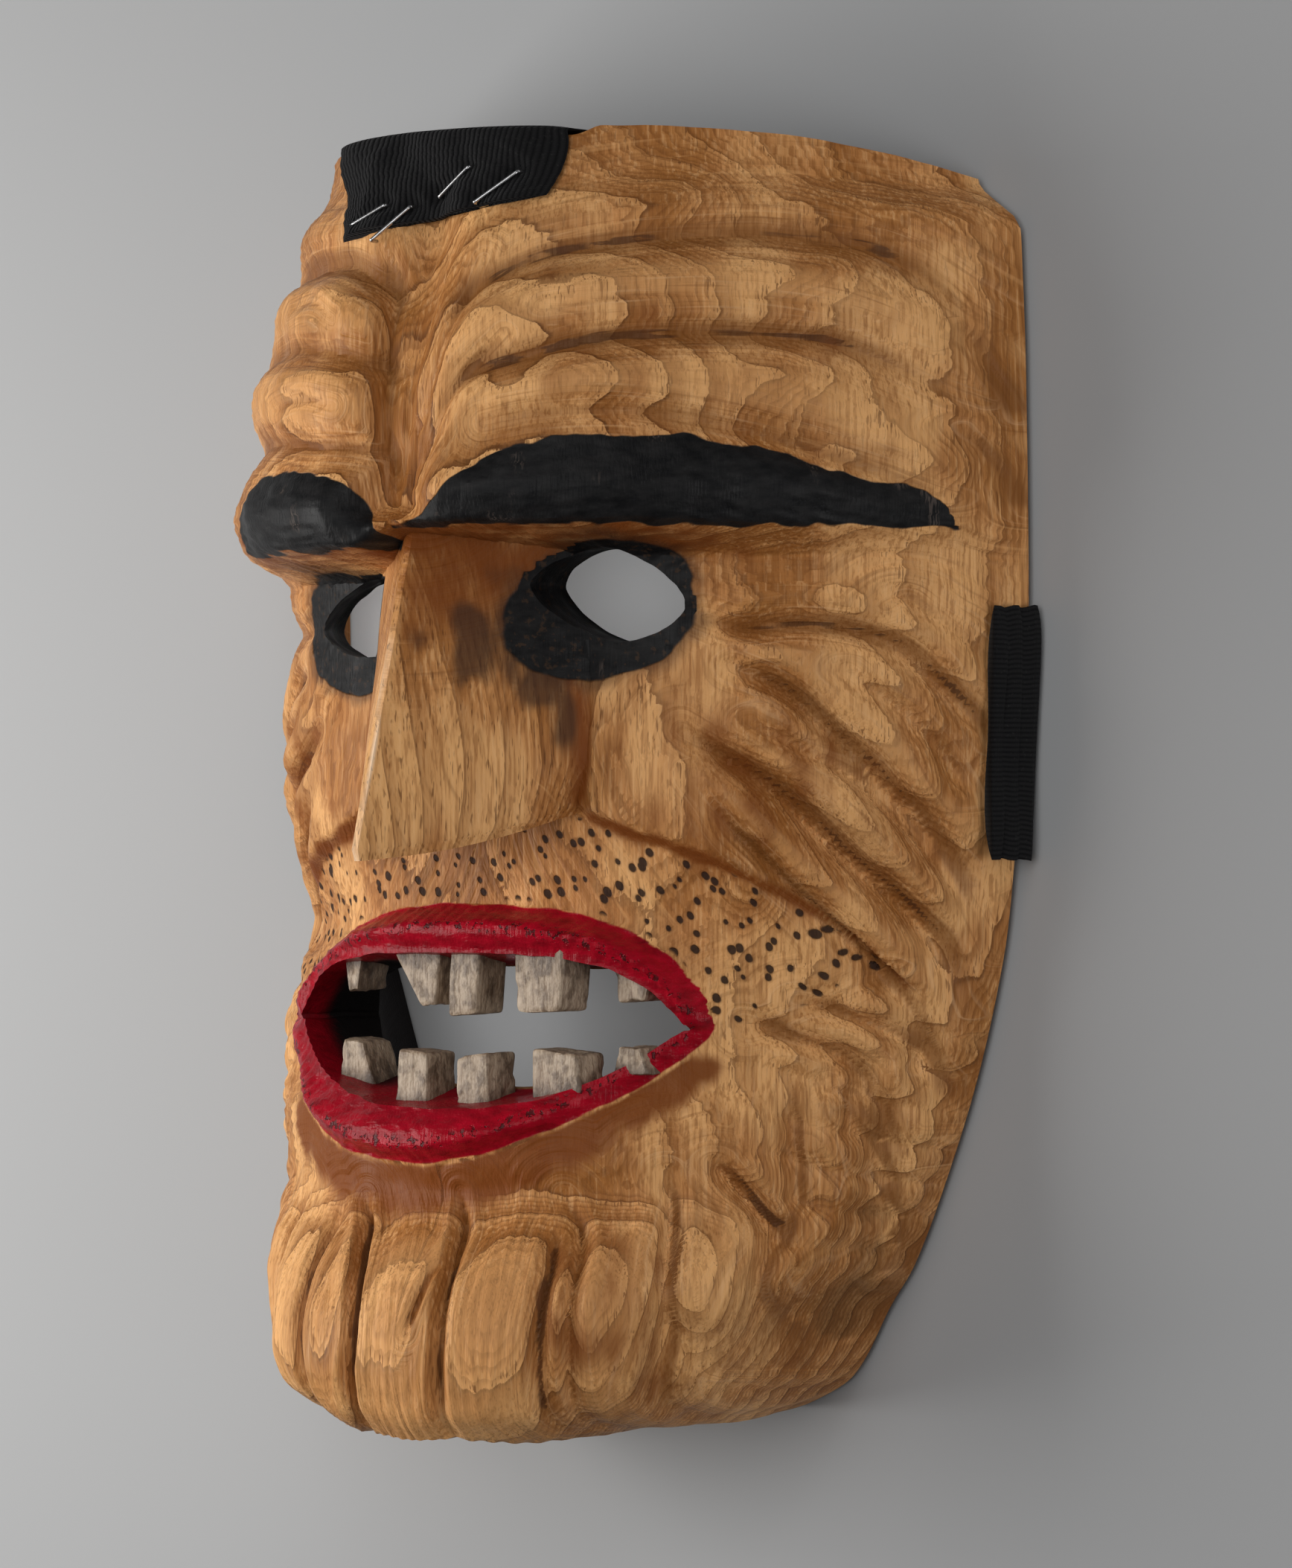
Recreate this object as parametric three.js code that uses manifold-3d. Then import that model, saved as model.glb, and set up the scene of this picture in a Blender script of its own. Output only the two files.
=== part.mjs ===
// Carved wooden carnival mask with an elastic harness, lying face up on its back rim.
// Units are millimetres. +Z is up, +Y runs to the top of the forehead, and +X is the
// right side for someone who looks at the face.
import * as THREE from "three";
import { ParametricGeometry } from "three/addons/geometries/ParametricGeometry.js";
import { mergeVertices } from "three/addons/utils/BufferGeometryUtils.js";
import Module from "manifold-3d";

const wasm = await Module();
wasm.setup();

// Driving dimensions
const CHIN_Y = -144.5;
const TOP_Y = 146.4;
const TOP_DROP = 18;
const STRAP_SEAT = 2.1;
const BAND_THICK = 2.1;
const GAP = 0.3;
const RIM_LIFT = BAND_THICK + GAP;
const CENTRE_Y = -1.6;
const BROW_SAG = 5;
const EYE_LEVEL = 66;
const EYE_TILT = 0.13;
const EYE_LENS = 1.25;
const EYE_BOTTOM = 35;
const RIGHT_EYE = { side: 1, x: 34.9, y: 42, halfWidth: 17.2, halfHeight: 10.4, slant: 0.22, topZ: 105 };
const LEFT_EYE = { side: -1, x: -32.2, y: 37.8, halfWidth: 17.3, halfHeight: 8.8, slant: -0.5, topZ: 82 };
const LIP = { x: -6.5, half: 61, midY: -54, rise: 27, fall: 31, upperProud: 8, lowerProud: 4.5 };
const MOUTH = { x: -4.2, half: 55, midY: -54, rise: 16.5, fall: 19.5 };
const NOSE = { ridgeX: 0.9, topY: 57, tipY: -17, topZ: 99, tipZ: 120.5, wingY: -5, rootZ: 62 };
const NOSE_WING = [[0, 36], [0.3, 36], [0.75, 37], [1, 31]];
const SIDE_BAND = { lowY: -17, highY: 40, leftDrop: 11, reach: 12, sag: 6, flare: 3, half: 90 };
const TOP_STRAP = { half: 28.5, thick: 2.2, lowerLeft: 122, lowerRight: 130, lift: 6 };

// Way of the top strap behind the forehead: height on the face, level, shift to the right and tilt, and
// then height on the face and shift where it lies flat
const STRAP_FALL = [
  [144, 52, 1, 0.1], [139, 40, 5, 0.35], [130, 26, 11, 0.75], [117, 13, 19, 1], [101, 4, 27, 1.2],
];
const STRAP_ON_FLOOR = [[86, 33], [64, 36], [36.5, 37]];

// Half width of the rim, by height on the face
const HALF = [
  [-146, 33], [-143, 42], [-136, 54], [-119, 64.5], [-110, 70.5], [-89, 79.6],
  [-67, 87.4], [-48, 92.5], [-33, 95.5], [-17, 97.3], [0, 98.8], [41, 101],
  [93, 100.3], [118, 99.3], [125, 98.9], [129, 96.5], [132.5, 91.5], [136, 88], [148, 86],
];
// Depth of the forehead and brow, and the two powers that shape its cross-section
const BROW_DEPTH = [
  [50, 107], [60, 107.5], [70, 106], [85, 105], [100, 102], [120, 94], [135, 88], [148, 83],
];
const BROW_ROUND = [[50, 2.3], [66, 2.4], [90, 2.3], [112, 2.15], [125, 1.9], [148, 1.85]];
const BROW_FLANK = 0.86;
// Depth of the face below the brow, and its two powers
const FACE_DEPTH = [
  [-146, 93], [-138, 100], [-128, 102], [-120, 101], [-112, 97.5], [-105, 92.5], [-98, 87],
  [-91, 85.5], [-84, 87], [-76, 86], [-66, 80], [-54, 74], [-40, 71.5], [-28, 70], [-10, 71],
  [20, 72], [60, 73],
];
const FACE_ROUND = [
  [-146, 2.6], [-116, 2.5], [-103, 2.2], [-85, 1.9], [-70, 1.9], [-54, 2.3], [-28, 2.8], [0, 3.2], [60, 3],
];
const FACE_FLANK = [
  [-146, 0.42], [-116, 0.4], [-103, 0.46], [-85, 0.56], [-70, 0.64], [-54, 0.74], [-28, 0.86], [0, 0.84],
  [60, 0.88],
];
// The left side is carved a little fuller or leaner than the right, as handwork is
const LEFT_FLANK = [
  [-142, 0.69], [-130, 0.55], [-114, 0.72], [-100, 0.58], [-84, 0.66], [-60, 0.62], [-44, 0.84], [-31, 1.3],
  [-8, 1.2], [9, 1.04], [34, 1.2], [44, 1], [52, 0.98], [58, 0.98], [66, 1.02], [80, 1.14], [92, 1.06],
  [104, 1.22], [116, 1.2], [128, 1.02], [147, 0.95],
];
// Inside of the shell
const HOLLOW_DEPTH = [
  [-122, 66], [-110, 82], [-98, 79], [-84, 72], [-66, 65], [-40, 59], [-10, 58], [30, 60],
  [48, 63], [66, 88], [85, 92], [100, 89], [120, 81], [135, 76], [148, 71], [162, 66],
];
const HOLLOW_WALL = [[-122, 22], [-90, 18], [-50, 16], [0, 9], [60, 8.5], [162, 9]];
const HOLLOW_CHIN = -120.4;
const HOLLOW_TOP = 159;

// Carved furrows: which side, depth, half width, and points as distance from the middle and height
const FURROWS = [
  ["right", 2.3, 4.4, [[12, 103], [26, 115.5], [40, 119.5], [60, 122], [73, 121], [85, 117], [97, 103]]],
  ["right", 0.9, 2.8, [[34, 105], [50, 107], [66, 107.5], [80, 105], [92, 98]]],
  ["right", 2.7, 4.4, [[16, 86], [31, 94], [57, 99], [72, 99], [82, 96.5], [97, 85]]],
  ["right", 1.8, 3.4, [[24, 79], [48, 82], [70, 77], [94, 64]]],
  ["both", 3, 2.6, [[4, 84], [3, 60]]],
  ["right", 1.4, 2.8, [[5, 74], [13, 101], [17, 116]]],
  ["left", 3.4, 4.2, [[4, 108], [22, 117], [52, 118], [70, 115]]],
  ["left", 2.1, 4, [[2, 91], [20, 96.5], [56, 97], [75, 91]]],
  ["left", 2.3, 3.6, [[3, 73], [27, 75.5], [60, 77], [78, 72]]],
  ["left", 1.7, 2.8, [[1, 62], [5, 92], [12, 122]]],
  ["right", 3.3, 3.1, [[55, 37], [61.6, 34.6], [78.5, 34.7], [89, 26.6], [94.6, 15.6], [97, 8]]],
  ["left", 1.4, 3.1, [[55, 37], [61.6, 34.6], [78.5, 34.7], [89, 26.6], [94.6, 15.6], [97, 8]]],
  ["both", 4.2, 3, [[61, 26], [72, 18], [82, 4.4], [88, -8], [93, -22]]],
  ["both", 2.7, 2.6, [[64, 14], [80, 1], [86, -9], [94, -40]]],
  ["both", 4.6, 3.3, [[51, 12], [67, 0], [79, -18], [88, -36], [90, -52]]],
  ["both", 2.8, 3, [[54, 2], [70, -23], [80, -41], [86, -66]]],
  ["left", 2.6, 2.4, [[66, 14], [75, -3]]],
  ["right", 2.5, 2.6, [[59, -52.5], [74, -61], [79, -84]]],
  ["right", 2.2, 2.6, [[66, -64], [67, -92], [64, -106], [56, -130]]],
  ["right", 3, 2.6, [[56, -84], [65, -101]]],
  ["right", 2.8, 2.6, [[5, -91], [8.6, -106], [11, -123], [10, -143]]],
  ["right", 2.4, 2.4, [[29, -95], [34, -108], [35, -125], [32, -143]]],
  ["right", 2.8, 2.4, [[48, -86], [50, -100], [52.5, -114], [49, -128], [43, -142]]],
  ["left", 3.4, 2.6, [[23, -94], [18, -105], [13, -121], [15, -143]]],
  ["left", 2.1, 2.8, [[31, -97], [32, -112], [31, -127], [29, -142]]],
  ["left", 2.4, 2.8, [[48, -94], [49, -110], [47, -126], [43, -140]]],
];
const LOCK_EDGES = [-82, -64, -48, -31, -15, 9.5, 33.5, 52, 66, 82];

// Teeth: middle, width, height of root and tip, front, lean, and how much narrower the tip is
const UPPER_TEETH = [
  { x: -39.5, width: 5, root: -40, tip: -47.5, front: 67, lean: 0, taper: 0.5 },
  { x: -17.5, width: 15.5, root: -35, tip: -50.5, front: 73, lean: 0.26, taper: 0.74 },
  { x: -2.2, width: 8.6, root: -34, tip: -52, front: 74, lean: -0.06, taper: 0.1 },
  { x: 18.8, width: 14.4, root: -34, tip: -51, front: 74.5, lean: -0.03, taper: 0.14 },
  { x: 38.4, width: 11.5, root: -40, tip: -48.5, front: 66, lean: -0.05, taper: 0.35 },
];
const LOWER_TEETH = [
  { x: -34.5, width: 10.5, root: -69.5, tip: -58.5, front: 72, lean: -0.12, taper: 0.45 },
  { x: -12.5, width: 9.6, root: -75, tip: -60, front: 81, lean: 0.05, taper: 0.15 },
  { x: 4.8, width: 9.2, root: -75, tip: -60.5, front: 81, lean: 0, taper: 0.06 },
  { x: 25.2, width: 13.5, root: -71, tip: -59.5, front: 77, lean: -0.06, taper: 0.1 },
  { x: 40.5, width: 9.5, root: -64.5, tip: -58.4, front: 70, lean: -0.1, taper: 0.4 },
];
const TOOTH_DEPTH = 11;

// Staples that hold the top strap: middle, length and slope on the forehead
const STAPLES = [
  { x: -16.5, y: 127.5, length: 10, slope: 0.45 },
  { x: -9.5, y: 125.2, length: 10.5, slope: 1.05 },
  { x: 5, y: 134, length: 10.5, slope: 0.75 },
  { x: 17, y: 132.2, length: 10.5, slope: 0.88 },
];
const STAPLE_WIRE = 0.45;
const STAPLE_LIFT = 3.4;

// How the face swells: the brow's roll, the notch over the nose, the cheeks, the forehead and the locks
const BROW_ROLL = { rise: 4, y: 66, spread: 7.5 };
const NOSE_NOTCH = { rise: -7, spread: 9 };
const CHEEK = { rise: 3.6, spread: 26 };
const FOLD_RISE = 0.8;
const KNOT_RISE = 1.55;
const TEMPLE_DENT = 3;
const LOCK_RISE = 0.14;
// The brow stands over the face between these heights
const BROW_LOW = 50.5;
const BROW_HIGH = 58.5;
// A furrow's groove and the shoulder beside it, as shares of its depth
const GROOVE = 0.9;
const SHOULDER = 0.28;
// The mouth closes in by this much for each millimetre inwards, from these levels
const MOUTH_NARROW = 0.2;
const MOUTH_LEVELS = { upper: 78, lower: 92, sides: 58 };

// Plain number helpers
function clamp01(t) {
  return Math.min(1, Math.max(0, t));
}
function ease(from, to, x) {
  const t = clamp01((x - from) / (to - from));
  return t * t * (3 - 2 * t);
}
function bell(x, middle, spread) {
  return Math.exp(-(((x - middle) / spread) ** 2));
}
// Smooth curve through stations that never overshoots them
function curve(stations, at) {
  const last = stations.length - 1;
  const x = Math.min(stations[last][0], Math.max(stations[0][0], at));
  let i = 0;
  while (i < last - 1 && x >= stations[i + 1][0]) i += 1;
  const rise = (k) => (stations[k + 1][1] - stations[k][1]) / (stations[k + 1][0] - stations[k][0]);
  const slope = (k) => {
    if (k === 0) return rise(0);
    if (k === last) return rise(last - 1);
    const before = rise(k - 1);
    const after = rise(k);
    return before * after <= 0 ? 0 : (2 * before * after) / (before + after);
  };
  const span = stations[i + 1][0] - stations[i][0];
  const s = (x - stations[i][0]) / span;
  const start = stations[i][1] * (1 + 2 * s) * (1 - s) ** 2 + slope(i) * span * s * (1 - s) ** 2;
  const finish = stations[i + 1][1] * s * s * (3 - 2 * s) + slope(i + 1) * span * s * s * (s - 1);
  return start + finish;
}

// How far a place is inside the outline of the lips, measured up or down
function lipInset(x, y) {
  const left = x < LIP.x;
  const t = Math.abs(x - LIP.x) / LIP.half;
  if (t >= 1) return -1;
  const rise = LIP.rise * (1 - t ** (left ? 2.2 : 3.4)) ** (left ? 0.7 : 0.6);
  const fall = LIP.fall * (1 - t ** (left ? 2.4 : 1.8)) ** 0.8;
  return Math.min(LIP.midY + rise - y, y - LIP.midY + fall);
}
// Upper and lower edge of the mouth opening, from the middle of the mouth
function mouthRise(x, half) {
  const t = clamp01(Math.abs(x - MOUTH.x) / half);
  return MOUTH.rise * (1 - t ** 6) ** 0.8;
}
function mouthFall(x, half) {
  const t = clamp01(Math.abs(x - MOUTH.x) / half);
  return MOUTH.fall * (1 - t ** 3.6) ** 0.9;
}
function mouthInset(x, y) {
  const upper = MOUTH.midY + mouthRise(x, MOUTH.half) - y;
  const lower = y - MOUTH.midY + mouthFall(x, MOUTH.half);
  return Math.min(upper, lower);
}

// Height of the face over the rim, without the nose and the furrows
const MUZZLE_EDGE = [[26, -6], [40, -11], [56, -17], [68, -25], [78, -36], [84, -46]];
function faceHeight(x, y) {
  const far = Math.abs(x);
  const r = clamp01(far / curve(HALF, y));
  const hand = x < 0 ? curve(LEFT_FLANK, y) : 1;
  const brow = curve(BROW_DEPTH, y) * (1 - r ** curve(BROW_ROUND, y)) ** (BROW_FLANK * hand);
  const face = curve(FACE_DEPTH, y) * (1 - r ** curve(FACE_ROUND, y)) ** (curve(FACE_FLANK, y) * hand);
  const offRim = ease(1, 0.82, r);
  const sag = BROW_SAG * ease(2, -9, x);
  const roll = BROW_ROLL.rise * bell(y + sag, BROW_ROLL.y, BROW_ROLL.spread) * offRim * ease(3, 16, far);
  const notch = NOSE_NOTCH.rise * bell(x, 0, NOSE_NOTCH.spread) * ease(56, 62, y) * ease(150, 120, y);
  const overMuzzle = y - curve(MUZZLE_EDGE, far);
  const cheek = CHEEK.rise * bell(Math.max(overMuzzle, 0), 0, CHEEK.spread) * ease(-1.5, 2.5, overMuzzle)
    * ease(20, 34, far) * ease(50, 30, y) * offRim;
  const inset = lipInset(x, y);
  const proud = (y > LIP.midY ? LIP.upperProud : LIP.lowerProud) * ease(0, 4.5, inset);
  const towardsCorner = 0.55 + 0.45 * ease(60, 44, far);
  const towardsOpening = 0.62 + 0.38 * ease(0.5, -4.5, mouthInset(x, y));
  const isBrow = ease(BROW_LOW, BROW_HIGH, y + sag);
  return (brow + roll + notch) * isBrow + (face + cheek) * (1 - isBrow)
    + proud * towardsCorner * towardsOpening;
}

// Depth of the furrows at a place on the face
function furrowCurve(points) {
  const path = new THREE.CatmullRomCurve3(points.map(([x, y]) => new THREE.Vector3(x, y, 0)));
  return path.getPoints(12);
}
const FURROW_PATHS = FURROWS.map(([side, depth, half, points]) => {
  return { side, depth, half, path: furrowCurve(points) };
});
function distanceTo(path, x, y) {
  const spot = new THREE.Vector3(x, y, 0);
  const near = new THREE.Vector3();
  const line = new THREE.Line3();
  let best = { gap: Infinity, along: 0 };
  for (let i = 0; i < path.length - 1; i += 1) {
    line.set(path[i], path[i + 1]).closestPointToPoint(spot, true, near);
    const gap = near.distanceTo(spot);
    if (gap < best.gap) best = { gap, along: (i + 0.5) / (path.length - 1) };
  }
  return best;
}
function furrowDepth(x, y) {
  let total = 0;
  for (const { side, depth, half, path } of FURROW_PATHS) {
    if ((side === "right" && x < 0) || (side === "left" && x >= 0)) continue;
    const { gap, along } = distanceTo(path, Math.abs(x), y);
    const taper = 0.25 + 0.75 * ease(0, 0.18, along) * ease(1, 0.82, along);
    const groove = -GROOVE * depth * bell(gap, 0, half);
    const shoulder = SHOULDER * depth * bell(gap, 2 * half, 1.1 * half);
    total += (groove + shoulder) * taper;
  }
  return total;
}
// Swellings of the forehead between furrows, and rounded locks of the beard
function swelling(x, y) {
  const far = Math.abs(x);
  const high = curve([[0, 98], [20, 102], [58, 110], [90, 104], [100, 95]], far);
  const low = curve([[0, 80], [20, 86], [58, 90], [90, 80], [100, 75]], far);
  const right = FOLD_RISE * (bell(y, high, 8) + bell(y, low, 6));
  const knots = KNOT_RISE * (bell(y, 107, 8) + bell(y, 88, 8));
  const left = knots - TEMPLE_DENT * bell(x, -88, 12) * bell(y, 43, 8);
  const folds = (x < 0 ? left : right) * ease(6, 22, far);
  let i = 0;
  while (i < LOCK_EDGES.length - 2 && x >= LOCK_EDGES[i + 1]) i += 1;
  const half = (LOCK_EDGES[i + 1] - LOCK_EDGES[i]) / 2;
  const across = clamp01(Math.abs(x - LOCK_EDGES[i] - half) / half);
  const locks = LOCK_RISE * half * (1 - across * across) * ease(-90, -110, y) * ease(74, 60, far);
  return folds + locks;
}
// Point on the carved front
function facePoint(x, y) {
  const step = 0.4;
  const z = faceHeight(x, y);
  const slopeX = (faceHeight(x + step, y) - faceHeight(x - step, y)) / (2 * step);
  const slopeY = (faceHeight(x, y + step) - faceHeight(x, y - step)) / (2 * step);
  const normal = new THREE.Vector3(-slopeX, -slopeY, 1).normalize();
  const relief = (furrowDepth(x, y) + swelling(x, y)) * ease(3, 18, z);
  return new THREE.Vector3(x, y, z).addScaledVector(normal, relief);
}

// Height of the inside of the shell over the rim plane
function hollowHalf(y) {
  return curve(HALF, y) - curve(HOLLOW_WALL, y);
}
function hollowHeight(x, y) {
  const r = clamp01(Math.abs(x) / hollowHalf(y));
  const round = y > 55 ? 2.2 : 2.5;
  return curve(HOLLOW_DEPTH, y) * (1 - r ** round) ** 0.8;
}

// A closed surface from a function of (u around, v along), with both ends drawn to a point
function closedGeometry(point, around, along) {
  const place = (u, v, target) => target.copy(point(u, v));
  let geometry = new ParametricGeometry(place, around, along);
  geometry.deleteAttribute("normal");
  geometry.deleteAttribute("uv");
  geometry = mergeVertices(geometry, 1e-4);
  const kept = [];
  const index = geometry.index.array;
  for (let i = 0; i < index.length; i += 3) {
    const [a, b, c] = [index[i], index[i + 1], index[i + 2]];
    if (a !== b && b !== c && c !== a) kept.push(a, b, c);
  }
  geometry.setIndex(kept);
  return geometry;
}
function toSolid(source) {
  let geometry = source;
  if (geometry.getAttribute("normal")) {
    geometry = source.clone();
    geometry.deleteAttribute("normal");
    geometry.deleteAttribute("uv");
    geometry = mergeVertices(geometry, 1e-4);
  }
  const vertProperties = new Float32Array(geometry.getAttribute("position").array);
  const triVerts = new Uint32Array(geometry.index.array);
  const solid = new wasm.Manifold(new wasm.Mesh({ numProp: 3, vertProperties, triVerts }));
  if (solid.volume() > 0) return solid;
  for (let i = 0; i < triVerts.length; i += 3) {
    [triVerts[i + 1], triVerts[i + 2]] = [triVerts[i + 2], triVerts[i + 1]];
  }
  return new wasm.Manifold(new wasm.Mesh({ numProp: 3, vertProperties, triVerts }));
}
function toGeometry(solid) {
  const mesh = solid.getMesh();
  const geometry = new THREE.BufferGeometry();
  geometry.setAttribute("position", new THREE.BufferAttribute(new Float32Array(mesh.vertProperties), 3));
  geometry.setIndex([...mesh.triVerts]);
  geometry.computeVertexNormals();
  return geometry;
}

// Rows of the face mesh stand closer where the carving turns quickly
const ROWS = [
  [0, CHIN_Y], [8, -105], [15, -84], [20, -68], [27, -40], [32, -24],
  [48, 46], [49, 50.5], [53, 58.5], [54, 63], [75, TOP_Y],
];
const ROW_COUNT = 75;
const COLUMN_COUNT = 41;
const SMALLEST_DETAIL = 0.02;
const COLUMN_BEND = 0.86 * (Math.PI / 2);
// How far the top edge lies below its highest level: it falls to the sides and is cut for the strap
function topEdge(x) {
  const fall = TOP_DROP * clamp01((Math.abs(x) - 25) / 75) ** 3.7;
  const beside = x < 0 ? -x - 5 : x;
  return fall + STRAP_SEAT * ease(36, 31, beside);
}
function outerBlock() {
  const endSpot = (y) => new THREE.Vector3(0, y, 30);
  const point = (u, v) => {
    const row = v * (ROW_COUNT + 2) - 1;
    if (row < -0.5) return endSpot(CHIN_Y);
    if (row > ROW_COUNT + 0.5) return endSpot(TOP_Y - STRAP_SEAT);
    const column = u * (COLUMN_COUNT + 1);
    const t = column > COLUMN_COUNT + 0.5 ? 0 : column / COLUMN_COUNT;
    const spread = Math.sin((2 * t - 1) * COLUMN_BEND) / Math.sin(COLUMN_BEND);
    const flatY = curve(ROWS, row);
    const share = ease(100, TOP_Y, flatY);
    let y = flatY;
    for (let round = 0; round < 4; round += 1) y = flatY - topEdge(spread * curve(HALF, y)) * share;
    return facePoint(spread * curve(HALF, y), y);
  };
  return toSolid(closedGeometry(point, COLUMN_COUNT + 1, ROW_COUNT + 2));
}
function hollowBlock() {
  const rows = 24;
  const columns = 22;
  const below = -5;
  const point = (u, v) => {
    const row = v * (rows + 2) - 1;
    if (row < -0.5) return new THREE.Vector3(0, HOLLOW_CHIN, 20);
    if (row > rows + 0.5) return new THREE.Vector3(0, HOLLOW_TOP, 20);
    const y = THREE.MathUtils.lerp(HOLLOW_CHIN, HOLLOW_TOP, row / rows);
    const closing = Math.sqrt(clamp01(1 - clamp01((-96 - y) / 26) ** 2));
    const half = hollowHalf(y) * (0.45 + 0.55 * closing);
    const column = u * (columns + 3);
    if (column < 0.5 || column > columns + 2.5) return new THREE.Vector3(-half, y, below);
    if (column > columns + 1.5) return new THREE.Vector3(half, y, below);
    const spread = -Math.cos(((column - 1) / columns) * Math.PI);
    const z = hollowHeight(spread * hollowHalf(y), y) * (0.25 + 0.75 * closing);
    return new THREE.Vector3(spread * half, y, z);
  };
  return toSolid(closedGeometry(point, columns + 3, rows + 2));
}
// The nose is a plain wedge with a sharp ridge and a sloping underside
function noseBlock() {
  const rows = 10;
  const shares = [0.04, 0.35, 0.7, 1];
  const flank = (side, share, along) => {
    const ridge = new THREE.Vector3(NOSE.ridgeX, THREE.MathUtils.lerp(NOSE.topY, NOSE.tipY, along),
      THREE.MathUtils.lerp(NOSE.topZ, NOSE.tipZ, along));
    const baseY = THREE.MathUtils.lerp(NOSE.topY, NOSE.wingY, along);
    const spot = ridge.lerp(new THREE.Vector3(side * curve(NOSE_WING, along), baseY, NOSE.rootZ), share);
    spot.x += side * 1.3 * Math.sin(share * Math.PI);
    spot.y -= 1.6 * Math.sin(Math.min(share * 1.25, 1) * Math.PI) * along;
    return spot;
  };
  const point = (u, v) => {
    const row = v * (rows + 2) - 1;
    if (row < -0.5) return new THREE.Vector3(0, NOSE.topY, NOSE.rootZ);
    if (row > rows + 0.5) return new THREE.Vector3(0, NOSE.wingY, NOSE.rootZ);
    const station = Math.round(u * shares.length * 2) % (shares.length * 2);
    const left = station < shares.length;
    const share = shares[left ? station : shares.length * 2 - 1 - station];
    return flank(left ? -1 : 1, share, row / rows);
  };
  return toSolid(closedGeometry(point, shares.length * 2, rows + 2));
}
// An eye is a lens with softly pointed corners, a little tilted, whose hole slants on its way in
function eyeHole(eye) {
  const around = 28;
  const power = (value) => Math.sign(value) * Math.abs(value) ** EYE_LENS;
  const point = (u, v) => {
    const row = Math.round(v * 3) - 1;
    const z = row <= 0 ? EYE_BOTTOM : eye.topZ;
    const middle = eye.x - eye.side * eye.slant * (EYE_LEVEL - z);
    if (row < 0 || row > 1) return new THREE.Vector3(middle, eye.y, z);
    const angle = ((Math.round(u * around) % around) / around) * Math.PI * 2;
    const across = power(Math.cos(angle)) * eye.halfWidth;
    const above = power(Math.sin(angle)) * eye.halfHeight - eye.side * EYE_TILT * across;
    return new THREE.Vector3(middle + across, eye.y + above, z);
  };
  return toSolid(closedGeometry(point, around, 3));
}
// The mouth narrows towards the back, so its red walls show
function mouthHole() {
  const levels = [112, MOUTH_LEVELS.lower, MOUTH_LEVELS.upper, 62, 30];
  const around = 32;
  const point = (u, v) => {
    const row = Math.round(v * (levels.length + 1)) - 1;
    const z = levels[Math.min(Math.max(row, 0), levels.length - 1)];
    if (row < 0 || row >= levels.length) return new THREE.Vector3(MOUTH.x, MOUTH.midY, z);
    const angle = ((Math.round(u * around) % around) / around) * Math.PI * 2;
    const half = MOUTH.half - MOUTH_NARROW * Math.max(0, MOUTH_LEVELS.sides - z);
    const x = MOUTH.x + half * Math.cos(angle);
    const narrow = MOUTH_NARROW * (1 - 0.85 * Math.abs(Math.cos(angle)) ** 2.5);
    const rise = mouthRise(x, half) - narrow * Math.max(0, MOUTH_LEVELS.upper - z);
    const fall = mouthFall(x, half) - narrow * Math.max(0, MOUTH_LEVELS.lower - z);
    const edge = Math.sin(angle) > 0 ? Math.max(rise, 1) : -Math.max(fall, 1);
    return new THREE.Vector3(x, MOUTH.midY + edge * Math.abs(Math.sin(angle)) ** 0.2, z);
  };
  return toSolid(closedGeometry(point, around, levels.length + 1));
}
function tooth({ x, width, root, tip, front, lean, taper }) {
  const height = Math.abs(root - tip);
  const block = new THREE.BoxGeometry(width, height, TOOTH_DEPTH);
  const spots = block.getAttribute("position");
  for (let i = 0; i < spots.count; i += 1) {
    const towardsTip = (spots.getY(i) * Math.sign(tip - root)) / height + 0.5;
    spots.setX(i, spots.getX(i) * (1 - taper * towardsTip) + lean * height * towardsTip);
  }
  block.translate(x, (root + tip) / 2, front - TOOTH_DEPTH / 2);
  return toSolid(block);
}
function maskBody() {
  let body = outerBlock().add(noseBlock()).subtract(hollowBlock());
  body = body.subtract(eyeHole(RIGHT_EYE)).subtract(eyeHole(LEFT_EYE)).subtract(mouthHole());
  for (const shape of [...UPPER_TEETH, ...LOWER_TEETH]) body = body.add(tooth(shape));
  return body.simplify(SMALLEST_DETAIL);
}

// A flat band: a path of centre points, each with its outward direction, swept across a width
function bandGeometry(stations, edges, thickness) {
  const across = edges.length;
  const point = (u, v) => {
    const row = Math.round(v * (stations.length + 1)) - 1;
    const i = Math.min(Math.max(row, 0), stations.length - 1);
    const column = Math.round(u * across * 2) % (across * 2);
    const top = column < across;
    const edge = edges[top ? column : across * 2 - 1 - column];
    const { spot, out } = stations[i](edge);
    if (row < 0 || row >= stations.length) return stations[i](edges[Math.floor(across / 2)]).spot;
    return spot.clone().addScaledVector(out, (top ? 0.5 : -0.5) * thickness);
  };
  return closedGeometry(point, across * 2, stations.length + 1);
}
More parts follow.
